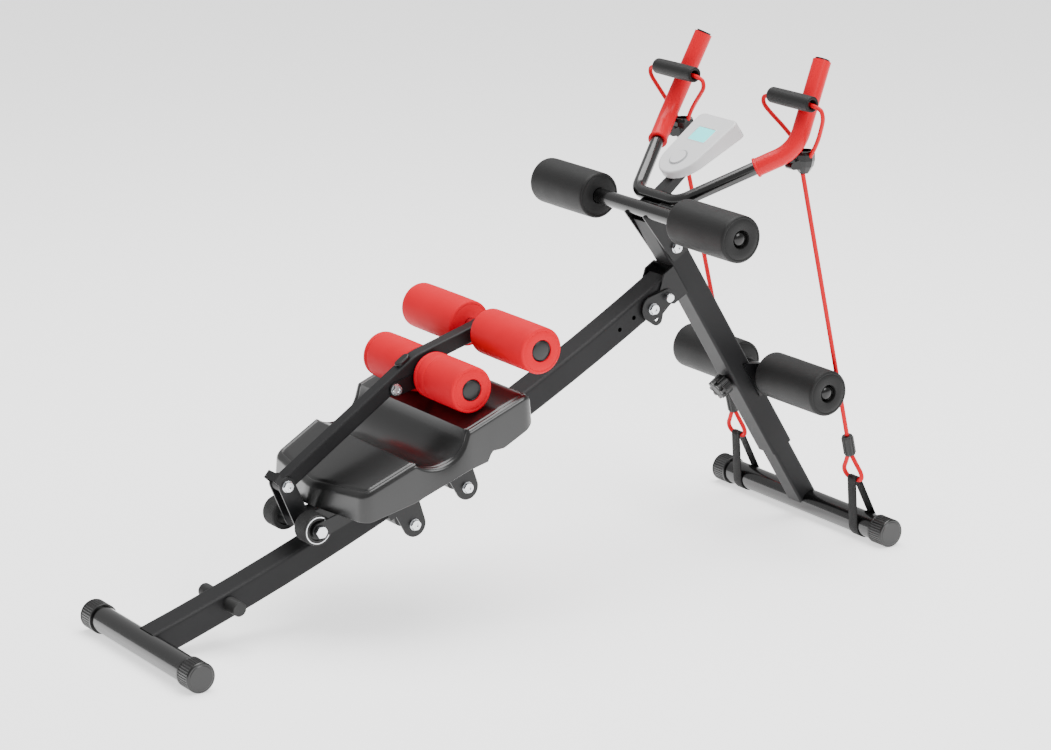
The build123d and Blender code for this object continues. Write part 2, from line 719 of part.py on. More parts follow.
def red_roller(spec):
    """A foam roller that runs between the arm and its axle's end cap."""
    outer, length, y, z, radius, axle = spec
    foam = rod(y, z, radius, outer - length, outer)
    foam = fillet(foam.edges().filter_by(GeomType.CIRCLE), 3.0)
    foam -= rod(y, z, axle + FOAM_CLEAR, outer - length, outer)
    return foam - rod(y, z, RED_CAP_R + 0.4, outer - 3.0, outer)


# --- swing arm ---

def arm_path():
    """The arm's centreline in (y, z): straight from its pivot, then bent flatter to the upper axle."""
    end = axle_centre(UPPER_RED)
    points = [(ARM_PIVOT[0], ARM_PIVOT[1]), ARM_BEND, end]
    return FilletPolyline(*[(0, y, z) for y, z in points], radius=ARM_BEND_R)


def arm_tube():
    path = arm_path()
    plane = Plane(origin=path @ 0, x_dir=(1, 0, 0), z_dir=path % 0)
    wall = 1.5
    outer = sweep(plane * RectangleRounded(ARM_WIDTH, ARM_DEPTH, 2.5), path=path)
    inner = sweep(plane * Rectangle(ARM_WIDTH - 2 * wall, ARM_DEPTH - 2 * wall), path=path)
    half = ARM_WIDTH / 2
    outer += rod(*ARM_PIVOT, ARM_DEPTH / 2, -half, half)
    outer += rod(*axle_centre(UPPER_RED), ARM_DEPTH / 2, -half, half)
    tube = outer - inner
    tube += sleeve(*ARM_PIVOT, 8.0, BOLT_R + RUNNING, -half, half)
    tube -= rod(*ARM_PIVOT, BOLT_R + RUNNING, -half, half)
    tube -= rod(*axle_centre(UPPER_RED), UPPER_RED[5], -half, half)
    return tube - rod(*ARM_BOLT, BOLT_R, -half, half)


def roller_bracket():
    """Plates bolted to the arm's sides, which carry the lower red rollers' axle below it."""
    half = ARM_WIDTH / 2
    axle = axle_centre(LOWER_RED)
    outline = hull((*ARM_BOLT, 9.5), (*axle, 11.5))
    plate = side(outline, half, half + HANGER)
    plate -= rod(*axle, LOWER_RED[5], 0, half + HANGER)
    plate -= rod(*ARM_BOLT, BOLT_R, 0, half + HANGER)
    return both(plate)


def arm_cap():
    """The oval plastic button on the arm's upper face."""
    path = arm_path()
    point, heading = path @ ARM_CAP_AT, path % ARM_CAP_AT
    normal = Vector(0, -heading.Z, heading.Y)
    plane = Plane(origin=point + normal * (ARM_DEPTH / 2), x_dir=heading, z_dir=normal)
    cap = extrude(plane * SlotOverall(24.0, 14.0), amount=5.0)
    return fillet(cap.faces().sort_by(Axis((0, 0, 0), normal))[-1].edges(), 2.0)


def arm_bolt():
    out = ARM_WIDTH / 2 + HANGER
    return through_bolt(*ARM_BOLT, out, -out)


def arm_axles():
    """The two roller axles fixed across the arm."""
    axles = []
    for spec in (UPPER_RED, LOWER_RED):
        reach = spec[0] - 3.4
        axles.append(rod(*axle_centre(spec), spec[5], -reach, reach))
    return Compound(children=axles)


def arm_axle_caps():
    """Round caps on the red rollers' axle ends."""
    caps = []
    for spec in (UPPER_RED, LOWER_RED):
        start = spec[0] - 2.6
        cap = rod(*axle_centre(spec), RED_CAP_R, start, start + 3.6)
        cap = fillet(cap.edges().filter_by(GeomType.CIRCLE).sort_by(Axis.X)[-1], 1.4)
        cap += rod(*axle_centre(spec), spec[5], spec[0] - 3.4, start)
        caps += [cap, left(cap)]
    return Compound(children=caps)


# --- carriage ---

SEAT_FRONT = 245.0
SEAT_CORNER_Y = 263.0
SEAT_CORNER_X = 120.0
SEAT_RIDGE_Y = 413.0
SEAT_HALF = 145.5
SEAT_REAR = 519.5
SEAT_WALL = 4.0


def seat_plan(inset=0.0):
    """The seat's outline from above: narrower and slightly bowed at its front end."""
    right = [(0, SEAT_FRONT), (SEAT_CORNER_X, SEAT_CORNER_Y),
             (SEAT_HALF, SEAT_RIDGE_Y), (SEAT_HALF, SEAT_REAR)]
    points = right + [(-x, y) for x, y in reversed(right[1:])]
    face = fillet(make_face(Polyline(*points, close=True)).vertices().sort_by(Axis.Y)[1:], 14.0)
    return offset(face, amount=-inset) if inset else face


def seat_profile(drop=0.0):
    """The seat's side outline: a flat shin pad, a trough across it, and a raised knee pad."""
    flat = Line((SEAT_FRONT - 20, 187.6 - drop), (338.0, 241.0 - drop))
    trough = ThreePointArc((338.0, 241.0 - drop), (366.0, 231.5 - drop), (SEAT_RIDGE_Y, 276.0 - drop))
    pad = Line((SEAT_RIDGE_Y, 276.0 - drop), (498.0, 308.5 - drop))
    rear = ThreePointArc((498.0, 308.5 - drop), (513.0, 305.0 - drop), (SEAT_REAR + 6, 290.0 - drop))
    base = [(SEAT_REAR + 6, 277.0), (505.5, 263.4), (467.0, 244.0), (447.0, 243.0), (443.0, 230.0),
            (412.0, 222.6), (334.0, 187.5), (272.0, 169.0), (SEAT_FRONT - 20, 169.0),
            (SEAT_FRONT - 20, 187.6 - drop)]
    under = Polyline((SEAT_REAR + 6, 290.0 - drop), *base)
    return make_face([flat, trough, pad, rear, *under.edges()])


def seat_shell():
    """The moulded seat, open underneath."""
    outer = side(seat_profile(), -SEAT_HALF - 5, SEAT_HALF + 5)
    outer &= extrude(Plane.XY.offset(150) * seat_plan(), amount=200)
    inner = side(seat_profile(SEAT_WALL), -SEAT_HALF - 5, SEAT_HALF + 5)
    lower = Pos(0, 0, -60) * inner
    inner_plan = extrude(Plane.XY.offset(80) * seat_plan(SEAT_WALL), amount=270)
    hollow = (inner + lower) & inner_plan
    return outer - hollow + seat_posts()


def seat_posts():
    """Round posts under the seat that stand on the chassis's flanges."""
    posts = []
    for y in SEAT_POSTS:
        base = flange_top(y)
        upright = (Align.CENTER, Align.CENTER, Align.MIN)
        post = Pos(PLATE_X - 4.0, y, base) * Cylinder(7.0, 80.0, align=upright)
        post &= side(seat_profile(SEAT_WALL / 2), 0, SEAT_HALF)
        posts += [post, left(post)]
    return posts


def flange_top(y):
    """The height of the chassis's flanges over a station."""
    return rail_at(y + 18.0, PLATE_TOP)[1] + 3.0


def chassis_profile():
    """A side plate's outline, with a round tab for each guide roller's bolt."""
    body = rail_face(PLATE_LOW, PLATE_TOP, 345.0, 505.0)
    body += hull((*CROSS_FRONT, 9.0), (*STRAP_END, 9.0), (340.0, 184.0, 9.0), (345.0, 160.0, 9.0))
    for station in GUIDE_ROLLER_Y:
        centre = rail_at(station, GUIDE_HEIGHT)
        shoulder = rail_at(station, 2.0)
        body += hull((*centre, TAB_R), (*shoulder, TAB_R + 3.0))
    return body


def flanges():
    """Small flanges bent inwards from the side plates, under the seat's posts."""
    parts = []
    for y in SEAT_POSTS:
        top = flange_top(y)
        flange = Pos(PLATE_X - 4.0, y, top - 1.5) * Box(8.0, 20.0, 3.0)
        web = Pos(PLATE_X + PLATE / 2, y, top - 11.0) * Box(PLATE, 20.0, 22.0)
        parts += [flange, web]
    return parts


def chassis():
    """Two side plates joined by cross members, with the straps that hold the front axle."""
    plate = side(chassis_profile(), PLATE_X, PLATE_X + PLATE) + flanges()
    for station in TOP_ROLLER_Y:
        plate -= rod(*rail_at(station, top_height()), BOLT_R, 0, PLATE_X + PLATE)
    for station in GUIDE_ROLLER_Y:
        plate -= rod(*rail_at(station, GUIDE_HEIGHT), BOLT_R, 0, PLATE_X + PLATE)
    strap_x = FRONT_ROLLER_X[1] + 1.0
    strap = side(hull((*FRONT_AXLE, 11.0), (*STRAP_END, 7.5)), strap_x, strap_x + PLATE)
    strap += rod(*STRAP_END, 7.5, PLATE_X, strap_x + PLATE)
    strap -= rod(*FRONT_AXLE, FRONT_AXLE_R, 0, strap_x + PLATE)
    half = plate + strap
    frame = half + left(half) + rod(*CROSS_FRONT, CROSS_R, -PLATE_X, PLATE_X)
    for station in (400.0, 434.0):
        frame += rod(*rail_at(station, 36.0), 6.0, -PLATE_X, PLATE_X)
    return frame


def top_height():
    return RAIL_DEPTH / 2 + TOP_ROLLER_R + ROLLER_GAP


def chassis_bolts():
    """The bolts that are the rollers' axles, and the one the swing arm turns on."""
    arm_out = ARM_WIDTH / 2 + 0.5 + PLATE
    bolts = [through_bolt(*ARM_PIVOT, arm_out, -arm_out)]
    out = PLATE_X + PLATE
    for station in TOP_ROLLER_Y:
        bolts.append(through_bolt(*rail_at(station, top_height()), out, -out))
    for station in GUIDE_ROLLER_Y:
        bolts.append(through_bolt(*rail_at(station, GUIDE_HEIGHT), out, -out))
    return Compound(children=bolts)


def carriage_roller(station, height, radius):
    """A nylon roller on its bolt, between the side plates."""
    y, z = rail_at(station, height)
    roller = sleeve(y, z, radius, BOLT_R + RUNNING, -ROLLER_WIDTH / 2, ROLLER_WIDTH / 2)
    rims = [e for e in roller.edges().filter_by(GeomType.CIRCLE) if e.radius > radius - 0.1]
    return chamfer(rims, 1.2)


def arm_bracket():
    """The swing arm's bearing: two plates from the arm's pivot to the front axle and the chassis."""
    near = ARM_WIDTH / 2 + 0.5
    outline = hull((*ARM_PIVOT, 12.0), (*FRONT_AXLE, 11.0), (233.0, 165.0, 6.0))
    outline += hull((*FRONT_AXLE, 11.0), (*CROSS_FRONT, 8.0))
    plate = side(outline, near, near + PLATE)
    plate -= rod(*ARM_PIVOT, BOLT_R, 0, near + PLATE)
    plate -= rod(*FRONT_AXLE, FRONT_AXLE_R, 0, near + PLATE)
    plate -= rod(*CROSS_FRONT, CROSS_R, 0, near + PLATE)
    nose = make_face(Polyline((190.0, 212.5), (198.0, 221.5), (200.5, 219.2), (194.5, 210.0), close=True))
    return plate + left(plate) + side(nose, -near, near) + nose_ears(near)


def nose_ears(near):
    """Short ears that join the bracket's front lip to its plates."""
    ear = make_face(Polyline((190.0, 212.5), (198.0, 221.5), (206.0, 212.0), (200.0, 203.0), close=True))
    plate = side(ear, near, near + PLATE)
    return plate + left(plate)


def front_axle():
    """The axle of the two outboard rollers, with a nut at each end."""
    axle = rod(*FRONT_AXLE, FRONT_AXLE_R, -FRONT_AXLE_HALF, FRONT_AXLE_HALF)
    strap_out = FRONT_ROLLER_X[1] + 2.0 + PLATE
    nut = hex_end(*FRONT_AXLE, strap_out, strap_out + HEX_HEIGHT, HEX + 2)
    return axle + nut + left(nut)


def front_roller():
    """An outboard roller: a rubber tyre on its hub, here one turned solid."""
    inner, outer = FRONT_ROLLER_X
    y, z = FRONT_AXLE
    roller = sleeve(y, z, FRONT_ROLLER_R, FRONT_AXLE_R + RUNNING, inner, outer)
    rims = [e for e in roller.edges().filter_by(GeomType.CIRCLE) if e.radius > FRONT_ROLLER_R - 0.1]
    return fillet(rims, 1.5)


def save(name, shape):
    """Writes one node, shifted so that the origin lies under the middle of the machine."""
    export_step(Pos(0, -FOOT_SPAN / 2, 0) * shape, f"parts/{name}.step")


os.makedirs("parts", exist_ok=True)
save("rail", rail())
save("front_foot_tube", foot_tube(0, FRONT_FOOT_HALF))
save("front_foot_caps", foot_caps(0, FRONT_FOOT_HALF))
save("stop_bumpers", stop_bumpers())
save("mast_tube", mast_tube())
save("height_knob", height_knob())
save("fold_bracket", fold_bracket())
save("lock_plate", lock_plate())
save("mast_bolts", mast_bolts())
save("fold_pin", fold_pin())
save("handlebar_stem", handlebar_stem())
save("upper_axle", roller_axle(UPPER_BLACK))
save("lower_axle", roller_axle(LOWER_BLACK))
save("axle_end_caps", axle_end_caps())
save("axle_saddle", axle_saddle())
save("handlebar", handlebar())
save("grips", grips())
save("handlebar_plugs", handlebar_plugs())
save("console_housing", console_housing())
save("console_screen", console_screen())
save("console_button", console_button())
save("console_bracket", console_bracket())
save("cord_guides", cord_guides())
save("d_handles", d_handles())
save("cord_crimps", cord_crimps())
save("foot_straps", foot_straps())
save("leg_tube", leg_tube())
save("rear_foot_tube", foot_tube(FOOT_SPAN, REAR_FOOT_HALF))
save("rear_foot_caps", foot_caps(FOOT_SPAN, REAR_FOOT_HALF))
save("arm_tube", arm_tube())
save("roller_bracket", roller_bracket())
save("arm_cap", arm_cap())
save("arm_bolt", arm_bolt())
save("arm_axles", arm_axles())
save("arm_axle_caps", arm_axle_caps())
save("seat_shell", seat_shell())
save("chassis", chassis())
save("chassis_bolts", chassis_bolts())
save("arm_bracket", arm_bracket())
save("front_axle", front_axle())

PAIRS = {
    "front_roller": front_roller(),
    "upper_black_roller": black_roller(UPPER_BLACK),
    "lower_black_roller": black_roller(LOWER_BLACK),
    "upper_red_roller": red_roller(UPPER_RED),
    "lower_red_roller": red_roller(LOWER_RED),
    "handle_cord": cord(HANDLE_ROUTE, HANDLE_CORD_R, "handle cord"),
    "lower_loop": cord(LOOP_ROUTE, CORD_R, "lower loop"),
    "resistance_cord": resistance_cord(),
}
for name, shape in PAIRS.items():
    save(f"{name}_right", shape)
    save(f"{name}_left", left(shape))

ENDS = ("front", "rear")
for end, top_station, guide_station in zip(ENDS, TOP_ROLLER_Y, GUIDE_ROLLER_Y):
    save(f"top_roller_{end}", carriage_roller(top_station, top_height(), TOP_ROLLER_R))
    save(f"guide_roller_{end}", carriage_roller(guide_station, GUIDE_HEIGHT, GUIDE_ROLLER_R))
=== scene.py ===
"""Looks for a folding ab crunch machine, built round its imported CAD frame.

Sizes in the classes are millimetres unless a name says otherwise. STATION_SHIFT turns a distance
from the front foot's axis into the frame's Y, whose origin lies midway between the two feet.
"""

import logging
import math
from dataclasses import dataclass
from enum import Enum
from typing import Iterable, Optional, Sequence

import bmesh
import bpy
from mathutils import Matrix, Vector, noise


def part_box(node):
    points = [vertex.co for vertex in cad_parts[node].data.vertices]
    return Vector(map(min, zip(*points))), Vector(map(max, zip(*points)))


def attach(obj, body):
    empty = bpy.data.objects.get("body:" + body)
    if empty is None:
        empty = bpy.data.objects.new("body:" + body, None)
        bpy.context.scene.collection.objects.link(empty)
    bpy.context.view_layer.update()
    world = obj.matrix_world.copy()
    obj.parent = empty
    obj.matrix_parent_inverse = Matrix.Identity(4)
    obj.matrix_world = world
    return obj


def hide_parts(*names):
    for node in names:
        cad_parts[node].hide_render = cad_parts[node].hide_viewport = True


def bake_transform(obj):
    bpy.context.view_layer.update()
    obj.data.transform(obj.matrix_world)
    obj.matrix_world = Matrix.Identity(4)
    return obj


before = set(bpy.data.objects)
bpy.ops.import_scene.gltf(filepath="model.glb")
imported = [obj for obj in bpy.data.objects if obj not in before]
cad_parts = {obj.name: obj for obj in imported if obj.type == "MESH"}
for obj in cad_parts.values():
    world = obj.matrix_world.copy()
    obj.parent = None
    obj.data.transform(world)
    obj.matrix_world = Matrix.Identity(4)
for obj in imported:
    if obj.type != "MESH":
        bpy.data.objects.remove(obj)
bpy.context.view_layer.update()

LOG = logging.getLogger("ab_crunch_machine")
MM = 0.001
STATION_SHIFT = 546.75

Point = tuple[float, float, float]
Profile = Sequence[tuple[float, float]]


def station(x: float, y: float, z: float) -> Vector:
    """Turns millimetres from the front foot's axis and the floor into the frame's metres."""
    return Vector((x, y - STATION_SHIFT, z)) * MM


# ---------------------------------------------------------------- node helpers


def linear(code: str) -> tuple[float, float, float, float]:
    """Turns an sRGB hex colour into linear light.

    Args:
        code: six hex digits after a hash sign.

    Returns:
        Red, green, blue and an alpha of one.
    """
    parts = [int(code[i:i + 2], 16) / 255 for i in (1, 3, 5)]
    lit = [c / 12.92 if c <= 0.04045 else ((c + 0.055) / 1.055) ** 2.4 for c in parts]
    return (lit[0], lit[1], lit[2], 1.0)


def add_node(tree: bpy.types.NodeTree, kind: str, settings: Optional[dict] = None,
             inputs: Optional[dict] = None) -> bpy.types.Node:
    """Adds a node, sets its properties, and sets or links its inputs.

    Args:
        tree: the node tree that gets the node.
        kind: the node's type name.
        settings: property values by name.
        inputs: by input name or index, a value or the output socket to link from.

    Returns:
        The new node.
    """
    node = tree.nodes.new(kind)
    for name, value in (settings or {}).items():
        setattr(node, name, value)
    for name, value in (inputs or {}).items():
        if isinstance(value, bpy.types.NodeSocket):
            tree.links.new(value, node.inputs[name])
        else:
            node.inputs[name].default_value = value
    return node


# ---------------------------------------------------------------- finishes


class Grain(Enum):
    """The small structure that a way of making leaves on a surface."""

    ORANGE_PEEL = "powder coat flows into soft dimples"
    MOULD_SPARK = "a spark-eroded mould leaves fine pits"
    FOAM_CELLS = "cut or moulded foam shows its cells"
    BRUSHED = "barrel plating over turned steel"
    SMOOTH = "dipped, extruded or polished"


@dataclass(frozen=True)
class Finish:
    """One finish: what the real surface is made of, and how it was made.

    Attributes:
        name: the material's name.
        colour: sRGB hex of the lit surface.
        shade: sRGB hex that the colour drifts to.
        drift: size of the drift's patches.
        roughness: how dull it is.
        roughness_drift: how much that varies over the surface.
        specular: strength of the plain reflection, a half for most plastics.
        metallic: one for bare metal.
        ior: index of refraction of the outer layer.
        coat: weight of a clear layer on top.
        coat_roughness: how dull that layer is.
        sheen: weight of a dusty glow at grazing angles.
        grain: the surface's small structure.
        pitch: size of one dimple, pit or cell.
        depth: how deep it is.
    """

    name: str
    colour: str
    shade: str
    drift: float = 60.0
    roughness: float = 0.45
    metallic: float = 0.0
    ior: float = 1.5
    coat: float = 0.0
    coat_roughness: float = 0.1
    sheen: float = 0.0
    grain: Grain = Grain.SMOOTH
    pitch: float = 1.5
    depth: float = 0.05
    roughness_drift: float = 0.06
    specular: float = 0.5

    def build(self) -> bpy.types.Material:
        """Makes the material, or returns it if it is there already."""
        made = bpy.data.materials.get(self.name)
        if made:
            return made
        made = bpy.data.materials.new(self.name)
        made.use_nodes = True
        tree = made.node_tree
        shader = tree.nodes["Principled BSDF"]
        for socket, value in {"Metallic": self.metallic, "IOR": self.ior, "Coat Weight": self.coat,
                              "Coat Roughness": self.coat_roughness, "Sheen Weight": self.sheen,
                              "Specular IOR Level": self.specular}.items():
            shader.inputs[socket].default_value = value
        place = add_node(tree, "ShaderNodeTexCoord").outputs["Object"]
        self.tint(tree, shader, place)
        height = self.height(tree, place)
        if height:
            bump = add_node(tree, "ShaderNodeBump",
                            inputs={"Height": height, "Distance": self.depth * MM, "Strength": 1.0})
            tree.links.new(bump.outputs[0], shader.inputs["Normal"])
        return made

    def tint(self, tree: bpy.types.NodeTree, shader: bpy.types.Node, place: bpy.types.NodeSocket) -> None:
        """Lets the colour and the gloss drift a little over the surface."""
        patches = add_node(tree, "ShaderNodeTexNoise",
                           inputs={"Vector": place, "Scale": 1000 / self.drift, "Detail": 5.0})
        mix = add_node(tree, "ShaderNodeMix", {"data_type": "RGBA"}, {"Factor": patches.outputs["Fac"]})
        mix.inputs["A"].default_value = linear(self.colour)
        mix.inputs["B"].default_value = linear(self.shade)
        gloss = add_node(tree, "ShaderNodeMapRange", inputs={
            "Value": patches.outputs["Fac"], "To Min": self.roughness - self.roughness_drift,
            "To Max": self.roughness + self.roughness_drift})
        colour_out = next(o for o in mix.outputs if o.type == "RGBA")
        tree.links.new(colour_out, shader.inputs["Base Color"])
        tree.links.new(gloss.outputs[0], shader.inputs["Roughness"])

    def height(self, tree: bpy.types.NodeTree, place: bpy.types.NodeSocket) -> Optional[bpy.types.NodeSocket]:
        """Adds the grain's nodes and returns their height output."""
        per_metre = 1000 / self.pitch
        if self.grain is Grain.SMOOTH:
            return None
        if self.grain is Grain.FOAM_CELLS:
            cells = add_node(tree, "ShaderNodeTexVoronoi", {"feature": "SMOOTH_F1"},
                             {"Vector": place, "Scale": per_metre, "Smoothness": 0.6})
            return cells.outputs["Distance"]
        if self.grain is Grain.BRUSHED:
            along = add_node(tree, "ShaderNodeMapping", inputs={"Vector": place, "Scale": (0.15, 1.0, 1.0)})
            lines = add_node(tree, "ShaderNodeTexNoise",
                             inputs={"Vector": along.outputs[0], "Scale": per_metre, "Detail": 3.0})
            return lines.outputs["Fac"]
        detail = 1.0 if self.grain is Grain.ORANGE_PEEL else 6.0
        pits = add_node(tree, "ShaderNodeTexNoise",
                        inputs={"Vector": place, "Scale": per_metre, "Detail": detail})
        return pits.outputs["Fac"]


@dataclass(frozen=True)
class Webbing(Finish):
    """Woven polypropylene: dark ribs run along the strap and reflect in short dashes."""

    thread: float = 1.3

    def height(self, tree: bpy.types.NodeTree, place: bpy.types.NodeSocket) -> bpy.types.NodeSocket:
        """Weaves two sets of threads from the piece's own map, which is laid out in metres."""
        own = add_node(tree, "ShaderNodeUVMap").outputs["UV"]
        per_metre = 1000 / self.thread
        waves = []
        for direction in ("X", "Y"):
            wave = add_node(tree, "ShaderNodeTexWave", {"bands_direction": direction},
                            {"Vector": own, "Scale": per_metre / 2, "Distortion": 0.4})
            waves.append(wave.outputs["Fac"])
        both = add_node(tree, "ShaderNodeMath", {"operation": "MULTIPLY"}, {0: waves[0], 1: waves[1]})
        return both.outputs[0]


@dataclass(frozen=True)
class Display(Finish):
    """A liquid crystal pane: even and cool, with a painted glow that brightens it beyond its lit colour."""

    # painted glow: the pane's emission, which brightens it beyond its lit colour
    glow: float = 0.25

    def build(self) -> bpy.types.Material:
        """Makes the pane's material with a weak painted glow of its own colour."""
        made = super().build()
        shader = made.node_tree.nodes["Principled BSDF"]
        shader.inputs["Emission Color"].default_value = linear(self.colour)
        shader.inputs["Emission Strength"].default_value = self.glow
        return made


# Powder coat on steel tube: charcoal, satin, with a soft dimple. The dimple is drawn coarse to show.
FRAME_COAT = Finish("powder_coated_steel", "#1E1E1F", "#19191A", roughness=0.48, specular=0.18,
                    grain=Grain.ORANGE_PEEL, pitch=1.8, depth=0.03, coat=0.05, coat_roughness=0.3)
# Powder coat on pressed steel brackets: a shade darker than the tubes.
BRACKET_COAT = Finish("powder_coated_plate", "#0A0A0B", "#08080A", specular=0.3, roughness=0.4,
                      grain=Grain.ORANGE_PEEL, pitch=1.6, depth=0.03, coat=0.15, coat_roughness=0.28)
# Black lacquer on bent tube: near black, with long narrow highlights.
BLACK_LACQUER = Finish("lacquered_steel", "#050505", "#040404", roughness=0.22, specular=0.5, coat=0.5,
                       coat_roughness=0.08, grain=Grain.ORANGE_PEEL, pitch=4.0, depth=0.01,
                       roughness_drift=0.03)
# Closed-cell nitrile foam, moulded: black, dull, with fine cells drawn coarse to show.
BLACK_FOAM = Finish("nitrile_foam_black", "#0E0E0E", "#0B0B0B", roughness=0.55, specular=0.3, sheen=0.03,
                    grain=Grain.FOAM_CELLS, pitch=1.3, depth=0.12, drift=35)
# The same foam dyed red: bright, with a soft even light over its curve.
RED_FOAM = Finish("nitrile_foam_red", "#D80022", "#CC001C", roughness=0.55, specular=0.1,
                  grain=Grain.FOAM_CELLS, pitch=1.3, depth=0.05, drift=35)
# Dipped vinyl sleeve: saturated red with a wet highlight.
RED_VINYL = Finish("dipped_vinyl_red", "#D2001E", "#C60018", roughness=0.32, specular=0.15, coat=0.1,
                   coat_roughness=0.14, grain=Grain.ORANGE_PEEL, pitch=5.0, depth=0.03)
# Extruded latex cord: red, slightly waxy.
RED_LATEX = Finish("latex_cord_red", "#D0001C", "#C40016", roughness=0.42, specular=0.12, drift=12,
                   grain=Grain.ORANGE_PEEL, pitch=2.5, depth=0.03)
# Injection-moulded polypropylene seat: black, satin, with broad soft reflections.
SEAT_PLASTIC = Finish("moulded_polypropylene", "#0A0A0A", "#080808", roughness=0.3, coat=0.4,
                      coat_roughness=0.2, grain=Grain.MOULD_SPARK, pitch=1.4, depth=0.008, drift=90)
# Glass-filled nylon for caps, knobs and rollers: black, dull, slightly streaked.
BLACK_NYLON = Finish("moulded_nylon", "#090909", "#070707", roughness=0.38, grain=Grain.MOULD_SPARK,
                     pitch=1.2, depth=0.03, drift=20)
# Polished nylon for the cord guides and domes: black with small bright highlights.
GLOSS_NYLON = Finish("polished_nylon", "#050505", "#040404", roughness=0.2, specular=0.35, coat=0.2,
                     coat_roughness=0.06)
# Polythene foot caps: black, a little glossy.
CAP_PLASTIC = Finish("moulded_polythene", "#080808", "#060606", roughness=0.32, coat=0.2,
                     coat_roughness=0.18, grain=Grain.MOULD_SPARK, pitch=1.4, depth=0.02)
# Vulcanised rubber tyres: charcoal and dull.
TYRE_RUBBER = Finish("vulcanised_rubber", "#141414", "#101010", roughness=0.6,
                     grain=Grain.MOULD_SPARK, pitch=1.0, depth=0.05, drift=15)
# Zinc-plated steel: bright, cool, and a little clouded.
ZINC = Finish("zinc_plated_steel", "#E9EAEC", "#D2D4D7", roughness=0.2, metallic=1.0, drift=6,
              grain=Grain.BRUSHED, pitch=0.8, depth=0.01)
# Moulded ABS housing: white, satin, with a soft edge highlight.
WHITE_ABS = Finish("moulded_abs_white", "#D4D4D5", "#CECECF", roughness=0.33, coat=0.15,
                   coat_roughness=0.2, grain=Grain.MOULD_SPARK, pitch=1.2, depth=0.012)
# Painted shade: the white plastic coloured grey where the moulded groove round the button lies in shade.
PAINTED_GROOVE_SHADE = Finish("painted_groove_shade", "#9C9EA0", "#949698", roughness=0.4, drift=20)
# Liquid crystal pane: pale blue-green, brightened by a painted glow.
LCD_PANE = Display("lcd_pane", "#6FEAEA", "#64E4E6", roughness=0.3, specular=0.1, drift=30, glow=0.6)
# Woven webbing straps: black.
BLACK_WEBBING = Webbing("polypropylene_webbing", "#0C0C0C", "#090909", roughness=0.6, specular=0.3,
                        depth=0.25, drift=8)
# Bonded nylon sewing thread.
THREAD = Finish("nylon_thread", "#2A2A2B", "#252526", roughness=0.45, drift=5)
# Matt background paper, nearly white.
STUDIO_PAPER = Finish("studio_paper", "#FBFBFB", "#FAFAFA", roughness=0.9, drift=900)

CAD_FINISHES: dict[str, Finish] = {
    "rail": FRAME_COAT, "mast_tube": FRAME_COAT, "leg_tube": FRAME_COAT, "arm_tube": FRAME_COAT,
    "front_foot_tube": BLACK_LACQUER, "rear_foot_tube": BLACK_LACQUER, "upper_axle": BLACK_LACQUER,
    "lower_axle": BLACK_LACQUER, "handlebar": BLACK_LACQUER, "fold_bracket": BRACKET_COAT,
    "lock_plate": BRACKET_COAT, "handlebar_stem": BRACKET_COAT, "axle_saddle": BRACKET_COAT,
    "console_bracket": BRACKET_COAT, "chassis": BRACKET_COAT, "arm_bracket": BRACKET_COAT,
    "roller_bracket": BRACKET_COAT, "mast_bolts": ZINC, "chassis_bolts": ZINC, "arm_bolt": ZINC,
    "arm_axles": ZINC, "front_axle": ZINC, "fold_pin": ZINC, "stop_bumpers": TYRE_RUBBER,
    "grips": RED_VINYL, "handlebar_plugs": BLACK_NYLON, "console_housing": WHITE_ABS,
    "console_button": WHITE_ABS, "console_screen": LCD_PANE, "cord_guides": GLOSS_NYLON,
    "height_knob": BLACK_NYLON, "arm_cap": BLACK_NYLON, "arm_axle_caps": BLACK_NYLON,
    "top_roller_front": BLACK_NYLON, "top_roller_rear": BLACK_NYLON,
    "guide_roller_front": BLACK_NYLON, "guide_roller_rear": BLACK_NYLON,
}


def dress_cad_nodes() -> None:
    """Gives every CAD node that stays visible its finish."""
    for node, finish in CAD_FINISHES.items():
        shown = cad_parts[node]
        shown.data.materials.clear()
        shown.data.materials.append(finish.build())


# ---------------------------------------------------------------- mesh helpers


def piece_from(name: str, mesh: bpy.types.Mesh, finish: Finish, sharp: float = 32.0) -> bpy.types.Object:
    """Makes a shown object of a mesh, smooth but for edges sharper than an angle.

    Args:
        name: the piece's name.
        mesh: its mesh, already in place.
        finish: what it is finished with.
        sharp: the angle in degrees from which an edge stays sharp.

    Returns:
        The new object.
    """
    mesh.name = name
    mesh.materials.clear()
    mesh.materials.append(finish.build())
    mesh.shade_smooth()
    mesh.set_sharp_from_angle(angle=math.radians(sharp))
    made = bpy.data.objects.new(name, mesh)
    bpy.context.scene.collection.objects.link(made)
    return made


def mesh_from(build: bmesh.types.BMesh, name: str, weld: float = 1e-6) -> bpy.types.Mesh:
    """Welds a bmesh's doubles, turns its faces outwards and returns it as a mesh."""
    bmesh.ops.remove_doubles(build, verts=build.verts, dist=weld)
    bmesh.ops.recalc_face_normals(build, faces=build.faces)
    mesh = bpy.data.meshes.new(name)
    build.to_mesh(mesh)
    build.free()
    return mesh


def skin(build: bmesh.types.BMesh, rings: Sequence[Sequence[Vector]], loop: bool = False) -> None:
    """Joins rings of equally many points with faces.

    Args:
        build: the bmesh that gets them.
        rings: the rings, each closed on itself.
        loop: whether the last ring joins the first.
    """
    made = [[build.verts.new(p) for p in ring] for ring in rings]
    pairs = list(zip(made, made[1:]))
    if loop:
        pairs.append((made[-1], made[0]))
    for low, high in pairs:
        for i, vert in enumerate(low):
            j = (i + 1) % len(low)
            build.faces.new((vert, low[j], high[j], high[i]))


